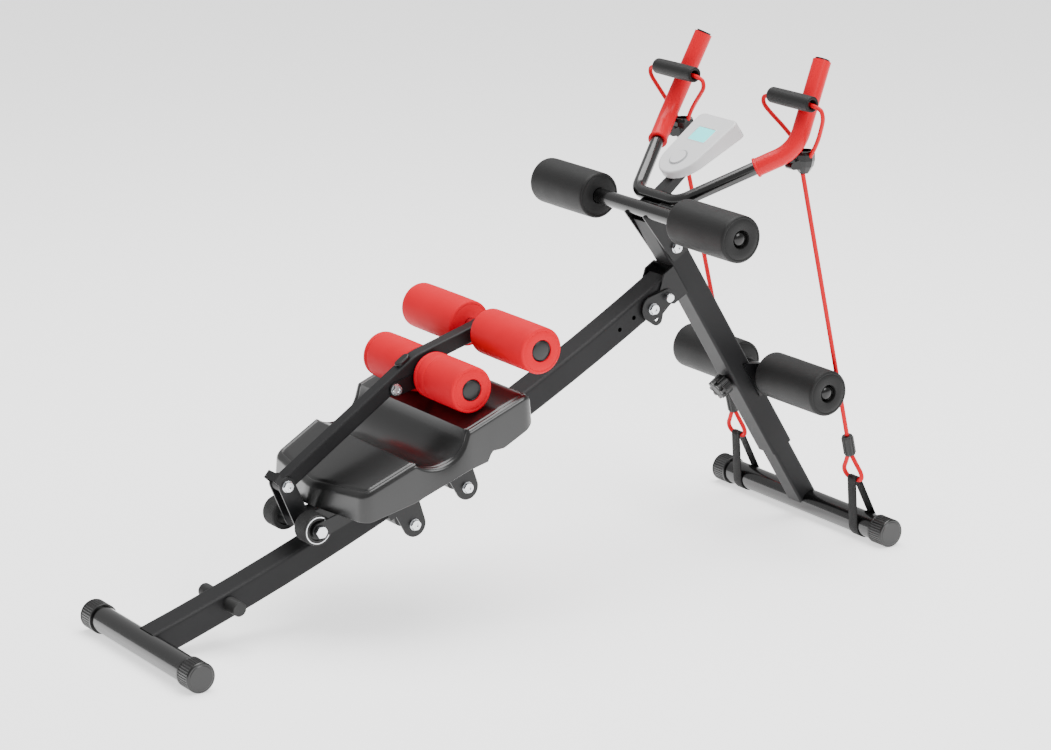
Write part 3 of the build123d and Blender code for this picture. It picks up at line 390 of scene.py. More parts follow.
def lathe(profile: Profile, centre: Vector, side: int = 1, segments: int = 96, closed: bool = True,
          wobble: float = 0.0) -> bmesh.types.BMesh:
    """Turns a profile about an axis along X.

    Args:
        profile: (distance along X, radius) in millimetres.
        centre: where distance zero lies on the axis, in metres.
        side: one if distance runs along +X, minus one if it runs the other way.
        segments: how many steps the turn has.
        closed: whether the profile joins its own start, as on a piece with a bore.
        wobble: how far the surface strays, in millimetres.

    Returns:
        The turned bmesh.
    """
    build = bmesh.new()
    rings = []
    for along, radius in profile:
        ring = []
        for step in range(segments):
            angle = math.tau * step / segments
            spoke = Vector((0, math.cos(angle), math.sin(angle)))
            point = centre + Vector((side * along * MM, 0, 0)) + spoke * max(radius, 0.0) * MM
            if wobble and radius > 0:
                point += spoke * wobble * MM * noise.noise(point * 45)
            ring.append(point)
        rings.append(ring)
    skin(build, rings, loop=closed)
    return build


def quarter(along: float, radius: float, bend: float, start: float,
            steps: int = 6) -> list[tuple[float, float]]:
    """A quarter circle for a turned profile.

    Args:
        along: the bend centre's distance along the axis.
        radius: the bend centre's distance from the axis.
        bend: the bend's own radius.
        start: the angle in degrees at which it starts, falling by ninety.
        steps: how many stretches it has.

    Returns:
        Its points.
    """
    angles = [math.radians(start - 90 * i / steps) for i in range(steps + 1)]
    return [(along + bend * math.cos(a), radius + bend * math.sin(a)) for a in angles]


def side_name(side: int) -> str:
    """Names a side of the machine: right for plus one, left for minus one."""
    return "right" if side > 0 else "left"


def lerp_height(start: tuple[float, float], end: tuple[float, float], y: float) -> float:
    """The height over a station on the straight line between two (station, height) points."""
    return start[1] + (end[1] - start[1]) * (y - start[0]) / (end[0] - start[0])


def box_of(node: str) -> tuple[Vector, Vector]:
    """A CAD node's lowest and highest corners, in millimetres."""
    low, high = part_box(node)
    return low / MM, high / MM


def finish_piece(piece: bpy.types.Object, body: str, slot: str, *nodes: str) -> bpy.types.Object:
    """Lets a piece ride on a body and hides the CAD nodes that it stands for."""
    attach(piece, body)
    if nodes:
        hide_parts(*nodes)
    LOG.info("%s rides on %s, %d faces", piece.name, body, len(getattr(piece.data, "polygons", [])))
    return piece


# ---------------------------------------------------------------- repeats by geometry nodes


def tree_input(tree: bpy.types.NodeTree, name: str, kind: str, value: object = None) -> None:
    """Adds a named input to a geometry tree."""
    socket = tree.interface.new_socket(name, in_out="INPUT", socket_type=kind)
    if value is not None:
        socket.default_value = value


def rod_ring_tree() -> bpy.types.NodeTree:
    """Builds the tree that sets equal rods round a ring, for flutes, treads and ribs."""
    made = bpy.data.node_groups.get("rods_round_a_ring")
    if made:
        return made
    tree = bpy.data.node_groups.new("rods_round_a_ring", "GeometryNodeTree")
    tree_input(tree, "Count", "NodeSocketInt", 24)
    for name in ("Ring Radius", "Rod Radius", "Rod Length"):
        tree_input(tree, name, "NodeSocketFloat", 0.01)
    tree_input(tree, "Centre", "NodeSocketVector")
    tree_input(tree, "Material", "NodeSocketMaterial")
    tree.interface.new_socket("Geometry", in_out="OUTPUT", socket_type="NodeSocketGeometry")
    given = add_node(tree, "NodeGroupInput").outputs
    upright = (0.0, math.pi / 2, 0.0)
    ring = add_node(tree, "GeometryNodeMeshCircle",
                    inputs={"Vertices": given["Count"], "Radius": given["Ring Radius"]})
    turned = add_node(tree, "GeometryNodeTransform",
                      inputs={"Geometry": ring.outputs[0], "Rotation": upright})
    rod = add_node(tree, "GeometryNodeMeshCylinder", inputs={
        "Vertices": 10, "Radius": given["Rod Radius"], "Depth": given["Rod Length"]})
    laid = add_node(tree, "GeometryNodeTransform", inputs={"Geometry": rod.outputs[0], "Rotation": upright})
    placed = add_node(tree, "GeometryNodeInstanceOnPoints",
                      inputs={"Points": turned.outputs[0], "Instance": laid.outputs[0]})
    moved = add_node(tree, "GeometryNodeTransform",
                     inputs={"Geometry": placed.outputs[0], "Translation": given["Centre"]})
    real = add_node(tree, "GeometryNodeRealizeInstances", inputs={0: moved.outputs[0]})
    done = add_node(tree, "GeometryNodeSetMaterial",
                    inputs={"Geometry": real.outputs[0], "Material": given["Material"]})
    add_node(tree, "NodeGroupOutput", inputs={"Geometry": done.outputs[0]})
    return tree


def scatter_tree() -> bpy.types.NodeTree:
    """Builds the tree that sets a pattern piece on each point of a mesh, turned by its 'turn'."""
    made = bpy.data.node_groups.get("pieces_on_points")
    if made:
        return made
    tree = bpy.data.node_groups.new("pieces_on_points", "GeometryNodeTree")
    tree.interface.new_socket("Points", in_out="INPUT", socket_type="NodeSocketGeometry")
    tree_input(tree, "Pattern", "NodeSocketObject")
    tree_input(tree, "Size", "NodeSocketFloat", 1.0)
    tree_input(tree, "Material", "NodeSocketMaterial")
    tree.interface.new_socket("Geometry", in_out="OUTPUT", socket_type="NodeSocketGeometry")
    given = add_node(tree, "NodeGroupInput").outputs
    pattern = add_node(tree, "GeometryNodeObjectInfo", inputs={"Object": given["Pattern"]})
    turn = add_node(tree, "GeometryNodeInputNamedAttribute", {"data_type": "FLOAT_VECTOR"}, {"Name": "turn"})
    placed = add_node(tree, "GeometryNodeInstanceOnPoints", inputs={
        "Points": given["Points"], "Instance": pattern.outputs["Geometry"],
        "Rotation": turn.outputs["Attribute"], "Scale": given["Size"]})
    real = add_node(tree, "GeometryNodeRealizeInstances", inputs={0: placed.outputs[0]})
    done = add_node(tree, "GeometryNodeSetMaterial",
                    inputs={"Geometry": real.outputs[0], "Material": given["Material"]})
    add_node(tree, "NodeGroupOutput", inputs={"Geometry": done.outputs[0]})
    return tree


def grown(name: str, tree: bpy.types.NodeTree, values: dict, finish: Finish,
          base: Optional[bpy.types.Mesh] = None) -> bpy.types.Object:
    """Runs a geometry tree once and returns its result as a plain piece.

    Args:
        name: the piece's name.
        tree: the geometry tree.
        values: the tree's inputs by name.
        finish: the piece's finish.
        base: the mesh that the tree starts from, if it needs one.

    Returns:
        The plain piece, with no modifier.
    """
    holder = bpy.data.objects.new(name + "_base", base or bpy.data.meshes.new(name + "_base"))
    bpy.context.scene.collection.objects.link(holder)
    modifier = holder.modifiers.new("grow", "NODES")
    modifier.node_group = tree
    keys = {s.name: s.identifier for s in tree.interface.items_tree if s.in_out == "INPUT"}
    for label, value in {**values, "Material": finish.build()}.items():
        modifier[keys[label]] = value
    bpy.context.view_layer.update()
    graph = bpy.context.evaluated_depsgraph_get()
    mesh = bpy.data.meshes.new_from_object(holder.evaluated_get(graph))
    holder.modifiers.clear()
    bpy.data.objects.remove(holder)
    return piece_from(name, mesh, finish)


def rods_round(name: str, finish: Finish, count: int, ring: float, rod: float, length: float,
               centre: Vector) -> bpy.types.Object:
    """Sets rods along X round a ring, sizes in millimetres and the centre in metres."""
    values = {"Count": count, "Ring Radius": ring * MM, "Rod Radius": rod * MM,
              "Rod Length": length * MM, "Centre": centre}
    return grown(name, rod_ring_tree(), values, finish)


def scattered(name: str, finish: Finish, pattern: bpy.types.Mesh, points: Sequence[Vector],
              turns: Sequence[Vector]) -> bpy.types.Object:
    """Sets a small pattern mesh on points, each turned by its own angles in radians."""
    base = bpy.data.meshes.new(name + "_points")
    base.from_pydata([tuple(p) for p in points], [], [])
    turn = base.attributes.new("turn", "FLOAT_VECTOR", "POINT")
    for item, angles in zip(turn.data, turns):
        item.vector = angles
    shape = bpy.data.objects.new(name + "_pattern", pattern)
    bpy.context.scene.collection.objects.link(shape)
    made = grown(name, scatter_tree(), {"Pattern": shape, "Size": 1.0}, finish, base)
    bpy.data.objects.remove(shape)
    return made


def joined(name: str, pieces: Sequence[bpy.types.Object]) -> bpy.types.Object:
    """Joins pieces of one finish into one object."""
    build = bmesh.new()
    for piece in pieces:
        build.from_mesh(piece.data)
    mesh = bpy.data.meshes.new(name)
    build.to_mesh(mesh)
    build.free()
    mesh.materials.append(pieces[0].data.materials[0])
    for piece in pieces:
        bpy.data.objects.remove(piece)
    made = bpy.data.objects.new(name, mesh)
    bpy.context.scene.collection.objects.link(made)
    return made


# ---------------------------------------------------------------- feet


@dataclass
class FootCaps:
    """The fluted plastic caps over the ends of one foot tube."""

    node: str
    body: str
    flutes: int = 36
    flute: float = 0.9
    rim: float = 2.2
    sleeve: float = 30.0
    wall: float = 4.0
    tube: float = 18.05
    collar: float = 3.0
    overlap: float = 0.05

    def profile(self, outer: float) -> Profile:
        """The cap's turned section, from its open end to its closed one.

        Args:
            outer: the smooth barrel's radius.

        Returns:
            The closed section.
        """
        full = outer + self.flute
        face = self.sleeve - 0.5
        return [(0, self.tube), (0, full - 0.4), (0.4, full), (self.collar, full),
                (self.collar + 0.6, outer), (face - self.rim - 0.4, outer),
                *quarter(face - self.rim, full - self.rim, self.rim, 90),
                (face, full - self.rim - 1.5), (face + 0.5, full - self.rim - 2.2), (face + 0.5, 0),
                (self.sleeve - self.wall, 0), (self.sleeve - self.wall, self.tube)]

    def build(self) -> list[bpy.types.Object]:
        """Builds both caps and their flutes."""
        low, high = box_of(self.node)
        y = (low.y + high.y) / 2
        z = high.z - (high.y - low.y) / 2
        reach = z - self.flute
        made = []
        for side in (-1, 1):
            start = Vector((side * (high.x - self.sleeve), y, z)) * MM
            cap = piece_from(f"{self.node}_{side_name(side)}", mesh_from(
                lathe(self.profile(reach), start, side), self.node), CAP_PLASTIC)
            middle = start + Vector((side * (self.sleeve - self.rim + self.collar) / 2 * MM, 0, 0))
            flutes = rods_round(f"{self.node}_flutes_{side_name(side)}", CAP_PLASTIC, self.flutes,
                                reach - self.overlap, self.flute,
                                self.sleeve - self.collar - self.rim, middle)
            made += [cap, flutes]
        caps = joined(self.node + "_fluted", made)
        return [finish_piece(caps, self.body, "foot_plastic", self.node)]


# ---------------------------------------------------------------- foam rollers


@dataclass
class FoamRoller:
    """One moulded foam roller, turned round its axle.

    Attributes:
        node: the CAD node that it replaces, which is also its body.
        side: one on the right, minus one on the left.
        axle: the axle's radius.
        mouth: radius of the opening in the outer face.
        deep: how deep that opening is.
        finish: the foam.
        slot: a slot's name; it is passed on but not used.
        grooves: distances of pressed rings from the inner face.
        edge: how round the end edges are.
    """

    node: str
    side: int
    axle: float
    mouth: float
    deep: float
    finish: Finish
    slot: str
    grooves: tuple[float, ...] = ()
    edge: float = 3.4
    crown: float = 0.3
    groove_depth: float = 2.0
    groove_width: float = 3.2
    slack: float = 0.08

    def barrel(self, radius: float, length: float) -> Profile:
        """The outer surface between the rounded edges, crowned and with its pressed rings."""
        points = []
        steps = 64
        for i in range(steps + 1):
            along = self.edge + (length - 2 * self.edge) * i / steps
            bow = self.crown * (2 * along / length - 1) ** 4
            dip = sum(math.exp(-((along - g) / (self.groove_width / 2)) ** 2) for g in self.grooves)
            points.append((along, radius - bow - self.groove_depth * dip))
        return points

    def profile(self, radius: float, length: float) -> Profile:
        """The whole closed section, from the bore's inner end over the barrel and back."""
        bore = self.axle + self.slack
        hip = radius - self.edge - self.crown
        ring = hip - 0.4
        return [(0, bore + 1.0), (0, hip * 0.6), (0, ring - 1.6), (0.6, ring - 0.8), (0, ring),
                *quarter(self.edge, hip, self.edge, 180), *self.barrel(radius, length)[1:-1],
                *quarter(length - self.edge, hip, self.edge, 90), (length, ring),
                (length - 0.6, ring - 0.8), (length, ring - 1.6), (length, hip * 0.75),
                (length, self.mouth + 1.2), (length - 0.35, self.mouth + 0.35),
                (length - 1.2, self.mouth), (length - self.deep, self.mouth),
                (length - self.deep, bore), (1.0, bore)]

    def build(self) -> list[bpy.types.Object]:
        """Builds the roller in place."""
        low, high = box_of(self.node)
        inner = low.x if self.side > 0 else high.x
        start = Vector((inner, (low.y + high.y) / 2, (low.z + high.z) / 2)) * MM
        section = self.profile((high.z - low.z) / 2, high.x - low.x)
        mesh = mesh_from(lathe(section, start, self.side, 112, wobble=0.12), self.node)
        foam = piece_from(self.node + "_foam", mesh, self.finish, 40)
        finish_piece(foam, self.node, self.slot, self.node)
        return [foam]


@dataclass
class AxleDomes:
    """The domed caps seen in the outer faces of a set of rollers.

    Attributes:
        rollers: the rollers' nodes.
        node: the CAD node that the domes replace.
        body: the body that they ride on.
        finish: their finish.
        radius: a dome's radius.
        rise: how high it stands above its rim.
        deep: how far its rim lies inside the roller's face.
        rim: the rim's height.
        bevel: how far the rim slopes along the axis.
        margin: the ring between the rim and the dome.
        sink: how high above the foot the dome starts.
    """

    rollers: tuple[str, ...]
    node: str
    body: str
    finish: Finish
    radius: float = 12.0
    rise: float = 5.2
    deep: float = 6.9
    rim: float = 1.2
    bevel: float = 0.4
    margin: float = 1.4
    sink: float = 0.8

    def profile(self) -> Profile:
        """The dome's turned section with a turned-in rim."""
        curve = [(self.rise * math.cos(a) + self.sink, (self.radius - self.margin) * math.sin(a))
                 for a in (math.radians(90 - 10 * i) for i in range(10))]
        return [(0, 0), (0, self.radius), (self.rim, self.radius),
                (self.rim + self.bevel, self.radius - 1.5 * self.bevel), *curve]

    def build(self) -> list[bpy.types.Object]:
        """Builds one dome in each roller's outer face."""
        domes = []
        for name in self.rollers:
            low, high = box_of(name)
            side = 1 if low.x > 0 else -1
            face = high.x if side > 0 else low.x
            start = Vector((face - side * self.deep, (low.y + high.y) / 2, (low.z + high.z) / 2)) * MM
            mesh = mesh_from(lathe(self.profile(), start, side, 48, closed=False), name)
            domes.append(piece_from(name + "_dome", mesh, self.finish))
        made = joined(self.node + "_domed", domes)
        return [finish_piece(made, self.body, "cap_plastic", self.node)]


# ---------------------------------------------------------------- front rollers


@dataclass
class TreadedRoller:
    """A front roller: a ribbed rubber tyre on a nylon hub with a bright steel rim."""

    node: str
    side: int
    ribs: int = 72
    rib: float = 0.55
    shoulder: float = 1.6
    hub: float = 14.5
    lip: float = 0.4
    dish: float = 2.2
    bore: float = 5.08
    rim_start: float = 2.6
    rim_width: float = 1.8
    rim_bevel: float = 0.4
    rim_proud: float = 0.1
    overlap: float = 0.02

    def build(self) -> list[bpy.types.Object]:
        """Builds the tyre, its tread, its rim and its hub."""
        low, high = box_of(self.node)
        radius, length = (high.z - low.z) / 2, high.x - low.x
        inner = low.x if self.side > 0 else high.x
        start = Vector((inner, (low.y + high.y) / 2, (low.z + high.z) / 2)) * MM
        barrel = radius - self.rib
        tyre_section = [
            (0, self.hub), (0, barrel - self.shoulder),
            *quarter(self.shoulder, barrel - self.shoulder, self.shoulder, 180, 4),
            *quarter(length - self.shoulder, barrel - self.shoulder, self.shoulder, 90, 4),
            (length, self.hub)]
        hub_section = [
            (self.dish, self.bore), (self.dish, self.hub - 1.5), (self.lip, self.hub - 0.2),
            (self.lip, self.hub), (length - self.lip, self.hub), (length - self.lip, self.hub - 0.6),
            (length - self.dish, self.hub - 1.8), (length - self.dish, self.bore)]
        rim, far_rim = self.hub + self.rim_start, self.hub + self.rim_start + self.rim_width
        face = length + self.rim_proud
        rim_section = [
            (face - self.rim_bevel, rim), (face, rim + self.rim_bevel), (face, far_rim - self.rim_bevel),
            (face - self.rim_bevel, far_rim)]
        tyre = piece_from(self.node + "_tyre", mesh_from(
            lathe(tyre_section, start, self.side), self.node), TYRE_RUBBER)
        middle = start + Vector((self.side * length / 2 * MM, 0, 0))
        tread = rods_round(self.node + "_tread", TYRE_RUBBER, self.ribs, barrel - self.overlap, self.rib,
                           length - 2 * self.shoulder, middle)
        rubber = joined(self.node + "_treaded_tyre", [tyre, tread])
        hub = piece_from(self.node + "_hub", mesh_from(
            lathe(hub_section, start, self.side), self.node), BLACK_NYLON)
        bright = piece_from(self.node + "_rim", mesh_from(
            lathe(rim_section, start, self.side), self.node), ZINC)
        return [finish_piece(rubber, self.node, "roller_rubber", self.node),
                finish_piece(hub, self.node, "nylon"), finish_piece(bright, self.node, "zinc")]


# ---------------------------------------------------------------- seat


@dataclass
class Seat:
    """The moulded knee seat: a shin pad, a trough, and a raised knee pad inside a beaded edge.

    Attributes:
        corners: the right half of the plan's outline, as (across, station).
        bends: how round each of these corners is.
        ledge: where the shin pad ends, as (station, height).
        trough: a point low on the arc across the seat.
        ridge: where the knee pad starts.
        crest: where the knee pad is highest.
        tail: the knee pad's rear end.
        nose: the shin pad's front end.
        skirt: the skirt's lower edge.
        roll: the radius between skirt and top.
        draft: how far the skirt leans in.
        groove_at: how far inside the edge the pressed groove runs.
        groove_depth: how deep it is.
        groove_shape: its section, as (offset, share of its depth).
        tail_curve: how late the knee pad turns down behind its crest.
        spine_inset: how far the middle line ends inside the outline.
        top_rings: how many rings the top has inside the groove.
        wall: the shell's thickness.
        spacing: the distance between points along the outline.
    """

    corners: Sequence[tuple[float, float]] = ((0, 245.0), (120.0, 263.0), (145.5, 413.0), (145.5, 519.5))
    bends: Sequence[float] = (60.0, 20.0, 90.0, 20.0)
    ledge: tuple[float, float] = (338.0, 241.0)
    trough: tuple[float, float] = (366.0, 231.5)
    ridge: tuple[float, float] = (413.0, 276.0)
    crest: tuple[float, float] = (498.0, 308.5)
    tail: tuple[float, float] = (519.5, 299.0)
    nose: tuple[float, float] = (225.0, 187.6)
    skirt: Sequence[tuple[float, float]] = (
        (225.0, 169.0), (272.0, 169.0), (334.0, 187.5), (412.0, 222.6), (443.0, 230.0), (447.0, 243.0),
        (467.0, 244.0), (505.5, 263.4), (525.0, 276.7))
    roll: float = 6.5
    draft: float = 2.2
    groove_at: float = 11.0
    groove_depth: float = 1.7
    groove_shape: Sequence[tuple[float, float]] = (
        (-1.9, 0.05), (-1.3, 0.35), (-0.7, 0.8), (0.0, 1.0), (0.9, 0.85), (1.8, 0.45), (2.8, 0.12),
        (4.2, 0.0))
    tail_curve: float = 2.2
    spine_inset: float = 50.0
    top_rings: int = 14
    wall: float = 3.2
    spacing: float = 4.0

    def outline(self) -> list[tuple[Vector, Vector]]:
        """The plan's outline as points with their outward directions, anticlockwise."""
        right = list(zip(self.corners, self.bends))
        left = [((-x, y), bend) for (x, y), bend in reversed(right) if x]
        corners = [(Vector(p), bend) for p, bend in right + left]
        points: list[tuple[Vector, Vector]] = []
        count = len(corners)
        for i, (corner, bend) in enumerate(corners):
            back = (corners[i - 1][0] - corner).normalized()
            ahead = (corners[(i + 1) % count][0] - corner).normalized()
            half = math.acos(max(-1.0, min(1.0, back.dot(ahead)))) / 2
            centre = corner + (back + ahead).normalized() * (bend / math.sin(half))
            start = corner + back * (bend / math.tan(half)) - centre
            turn = math.pi - 2 * half
            steps = max(3, int(bend * turn / self.spacing) + 2)
            for step in range(steps + 1):
                angle = turn * step / steps
                spoke = Matrix.Rotation(angle, 2) @ start
                points.append((centre + spoke, spoke.normalized()))
            end = points[-1]
            following, next_bend = corners[(i + 1) % count]
            towards = (following - corner).normalized()
            next_back = -towards
            next_ahead = (corners[(i + 2) % count][0] - following).normalized()
            next_half = math.acos(max(-1.0, min(1.0, next_back.dot(next_ahead)))) / 2
            stop = following + next_back * (next_bend / math.tan(next_half))
            run = (stop - end[0]).length
            for step in range(1, int(run / self.spacing)):
                points.append((end[0] + towards * (run * step / int(run / self.spacing)), end[1]))
        return points

    def trough_height(self, y: float) -> float:
        """The height of the arc across the seat, through its two ends and its lowest stretch."""
        (ax, ay), (bx, by), (cx, cy) = self.ledge, self.trough, self.ridge
        d = 2 * (ax * (by - cy) + bx * (cy - ay) + cx * (ay - by))
        a2, b2, c2 = ax * ax + ay * ay, bx * bx + by * by, cx * cx + cy * cy
        ux = (a2 * (by - cy) + b2 * (cy - ay) + c2 * (ay - by)) / d
        uy = (a2 * (cx - bx) + b2 * (ax - cx) + c2 * (bx - ax)) / d
        radius = math.hypot(ax - ux, ay - uy)
        return uy - math.sqrt(max(0.0, radius ** 2 - (y - ux) ** 2))

    def top(self, y: float) -> float:
        """The seat's upper surface over a station."""
        if y < self.ledge[0]:
            return lerp_height(self.nose, self.ledge, y)
        if y < self.ridge[0]:
            return self.trough_height(y)
        height = lerp_height(self.ridge, self.crest, y)
        if y > self.crest[0]:
            share = (y - self.crest[0]) / (self.tail[0] - self.crest[0])
            fall = lerp_height(self.ridge, self.crest, self.tail[0]) - self.tail[1]
            height -= fall * share ** self.tail_curve
        return height

    def bottom(self, y: float) -> float:
        """The skirt's lower edge over a station."""
        for start, end in zip(self.skirt, self.skirt[1:]):
            if y <= end[0]:
                return lerp_height(start, end, y)
        return self.skirt[-1][1]

    def section(self) -> list[tuple[float, float, float]]:
        """Steps from the skirt's foot to the top: inset, share of skirt height, fall from the top."""
        steps = [(0.6, 0.0, 0.0), (0.0, 0.02, 0.0)]
        steps += [(self.draft * s, s, self.roll * s) for s in (0.12, 0.3, 0.55, 0.8, 0.92, 1.0)]
        for i in range(1, 8):
            angle = math.radians(90 * i / 7)
            steps.append((self.draft + self.roll * (1 - math.cos(angle)), 1.0,
                          self.roll * (1 - math.sin(angle))))
        for offset, share in self.groove_shape:
            steps.append((self.groove_at + offset, 1.0, self.groove_depth * share))
        return steps

    def rings(self) -> list[list[Vector]]:
        """The skin's rings from the skirt's foot to the line along the seat's middle."""
        outline = self.outline()
        rings = []
        for inset, share, fall in self.section():
            ring = []
            for point, normal in outline:
                place = point - normal * inset
                high = self.top(place.y) - fall
                low = self.bottom(place.y)
                ring.append(station(place.x, place.y, low + (high - low) * share))
            rings.append(ring)
        deepest = self.section()[-1][0]
        front = self.corners[0][1] + self.spine_inset
        rear = self.corners[-1][1] - self.spine_inset
        for step in range(1, self.top_rings + 1):
            share = step / self.top_rings
            ring = []
            for point, normal in outline:
                edge = point - normal * deepest
                spine = Vector((0, min(max(edge.y, front), rear)))
                place = edge.lerp(spine, share)
                ring.append(station(place.x, place.y, self.top(place.y)))
            rings.append(ring)
        return rings

    def build(self) -> list[bpy.types.Object]:
        """Builds the shell with its wall."""
        build = bmesh.new()
        skin(build, self.rings())
        mesh = mesh_from(build, "seat_moulding", 2e-5)
        shell = piece_from("seat_moulding", mesh, SEAT_PLASTIC, 28)
        thick = shell.modifiers.new("wall", "SOLIDIFY")
        thick.thickness = self.wall * MM
        thick.offset = -1.0
        bpy.context.view_layer.update()
        graph = bpy.context.evaluated_depsgraph_get()
        solid = bpy.data.meshes.new_from_object(shell.evaluated_get(graph))
        bpy.data.objects.remove(shell)
        shell = piece_from("seat_moulding", solid, SEAT_PLASTIC, 28)
        return [finish_piece(shell, "carriage", "seat_plastic", "seat_shell")]


# ---------------------------------------------------------------- fittings on the mast

CONSOLE_TILT = 34.6
MAST_TILT = 31.2
CORD_GUIDE: Point = (140.0, 970.0, 553.0)
GRIP_FOOT: Point = (114.4, 905.1, 563.2)
GRIP_BEND: Point = (148.7, 948.3, 589.2)


def turned_to(mesh: bpy.types.Mesh, direction: Vector, place: Vector) -> bpy.types.Mesh:
    """Turns a mesh made along X to a direction and moves it to a place in metres."""
    mesh.transform(Matrix.Translation(place) @ direction.to_track_quat("X", "Z").to_matrix().to_4x4())
    return mesh


@dataclass
class ConsoleTrim:
    """The moulded lines that frame the console's button and its display; the line round the button is painted
    shade.
    """

    ring_gap: float = 0.9
    ring_width: float = 1.2
    ring_rise: float = 1.45
    bezel_width: float = 2.0
    bezel_rise: float = 0.7
    corner: float = 2.4

    def __post_init__(self) -> None:
        """Works out the console's upright and its slope."""
        tilt = math.radians(CONSOLE_TILT)
        self.up = Vector((0, -math.sin(tilt), math.cos(tilt)))
        self.slope = Vector((0, math.cos(tilt), math.sin(tilt)))

    def ring(self) -> bpy.types.Object:
        """Builds the painted shadow round the button: a raised grey ring that stands for the shade in its
        groove.
        """
        low, high = box_of("console_button")
        radius = (high.x - low.x) / 2
        centre = (low + high) / 2 * MM
        inner = radius + self.ring_gap
        outer = inner + self.ring_width
        section = [(0.0, inner), (self.ring_rise, inner), (self.ring_rise, outer), (0.0, outer)]
        mesh = mesh_from(lathe(section, Vector(), 1, 72), "button_ring")
        # painted shade: the grey ring stands for the shade in the button's groove
        return piece_from("button_ring", turned_to(mesh, self.up, centre), PAINTED_GROOVE_SHADE)

    def bezel(self) -> bpy.types.Object:
        """Builds the raised frame round the display."""
        low, high = box_of("console_screen")
        centre = (low + high) / 2 * MM
        half_x = (high.x - low.x) / 2 + 0.3
        half_y = (high.y - low.y - 0.6) / 2 / self.slope.y + 0.3
        outline = []
        for sx, sy, start in ((1, 1, 0), (-1, 1, 90), (-1, -1, 180), (1, -1, 270)):
            for step in range(7):
                angle = math.radians(start + 15 * step)
                spoke = Vector((math.cos(angle), math.sin(angle)))
                corner = Vector((sx * (half_x - self.corner), sy * (half_y - self.corner)))
                outline.append((corner + spoke * self.corner, spoke))
        section = ((0.0, -0.3), (0.0, 0.5), (0.7, self.bezel_rise + 0.5), (self.bezel_width, 0.85),
                   (self.bezel_width, -0.3))
        build = bmesh.new()
        rings = []
        for point, spoke in outline:
            ring = []
            for out, rise in section:
                flat = point + spoke * out
                ring.append(centre + (Vector((flat.x, 0, 0)) + self.slope * flat.y + self.up * rise) * MM)
            rings.append(ring)
        skin(build, rings, loop=True)
        return piece_from("display_bezel", mesh_from(build, "display_bezel"), WHITE_ABS)

    def build(self) -> list[bpy.types.Object]:
        """Builds the button's ring and the display's frame."""
        return [finish_piece(self.ring(), "mast", "white_plastic"),
                finish_piece(self.bezel(), "mast", "white_plastic")]


@dataclass
class LobedKnob:
    """The height knob: a lobed head on a ribbed collar, with a domed face."""

    lobes: int = 8
    lobe: float = 3.4
    core: float = 11.6
    head: float = 9.0
    collar: float = 9.0
    foot: float = 7.5

    def build(self) -> list[bpy.types.Object]:
        """Builds the knob along the mast's forward normal."""
        low, high = box_of("height_knob")
        tilt = math.radians(MAST_TILT)
        forward = Vector((0, -math.cos(tilt), -math.sin(tilt)))
        radius = (high.x - low.x) / 2
        front = min((Vector((0, y, z)) for y in (low.y, high.y) for z in (low.z, high.z)),
                    key=lambda corner: -corner.dot(forward))
        middle = Vector((0, (low.y + high.y) / 2, (low.z + high.z) / 2))
        reach = (front - middle).dot(forward) - radius * math.sin(tilt) * math.cos(tilt)
        tip = middle + forward * reach
        length = self.head + self.foot
        ring_steps = [(0.0, 0.0), (0.0, self.collar)]
        for i in range(3):
            along = 0.8 + i * self.foot / 3
            ring_steps += [(along, self.collar), (along + 0.5, self.collar - 1.0),
                           (along + 1.5, self.collar - 1.0), (along + 1.9, self.collar)]
        dome = [(self.foot, self.core), (length - 1.4, self.core), (length - 0.4, self.core - 1.2),
                (length, self.core - 2.6), (length - 0.9, self.core - 4.0), (length - 0.9, 0.0)]
        core = piece_from("knob_core", mesh_from(
            lathe([*ring_steps, *dome], Vector(), 1, 48, closed=False), "knob_core"), BLACK_NYLON)
        lobes = rods_round("knob_lobes", BLACK_NYLON, self.lobes, radius - self.lobe, self.lobe,
                           self.head - 1.4, Vector(((self.foot + self.head / 2) * MM, 0, 0)))
        knob = joined("height_knob_lobed", [core, lobes])
        turned_to(knob.data, forward, (tip - forward * length) * MM)
        return [finish_piece(knob, "knob", "nylon")]


@dataclass
class FacetedGuide:
    """The polished faceted collar round each cord guide."""

    facets: int = 9
    section: Profile = ((2.0, 6.0), (2.0, 8.2), (10.0, 13.2), (18.5, 15.2), (27.0, 14.9), (31.0, 13.6),
                        (31.0, 12.0), (16.0, 12.0), (4.0, 6.0))

    def build(self) -> list[bpy.types.Object]:
        """Builds a collar on each side."""
        collars = []
        for side in (-1, 1):
            x, y, z = CORD_GUIDE
            mesh = mesh_from(lathe(self.section, Vector(), 1, self.facets), "cord_guide_collar")
            turned_to(mesh, Vector((0, 0, 1)), station(side * x, y, z))
            collars.append(piece_from(f"cord_guide_collar_{side_name(side)}", mesh, GLOSS_NYLON, 5))
        return [finish_piece(joined("cord_guide_collars", collars), "mast", "cap_plastic")]


@dataclass
class RolledLip:
    """The thick rolled edge at the foot of each dipped grip."""

    radius: float = 13.1
    swell: float = 1.1
    width: float = 4.2

    def build(self) -> list[bpy.types.Object]:
        """Builds a lip on each side."""
        lips = []
        for side in (-1, 1):
            foot = station(side * GRIP_FOOT[0], *GRIP_FOOT[1:])
            run = (station(side * GRIP_BEND[0], *GRIP_BEND[1:]) - foot).normalized()
            bulge = [(self.width / 2 - self.width / 2 * math.cos(a), self.radius + self.swell * math.sin(a))
                     for a in (math.pi * i / 8 for i in range(9))]
            section = [(0.0, self.radius - 2.0), *bulge, (self.width, self.radius - 2.0)]
            mesh = mesh_from(lathe(section, Vector(), 1, 64), "grip_lip")
            turned_to(mesh, run, foot - run * 0.2 * MM)
            lips.append(piece_from(f"grip_lip_{side_name(side)}", mesh, RED_VINYL))
        return [finish_piece(joined("grip_lips", lips), "mast", "red_grip")]


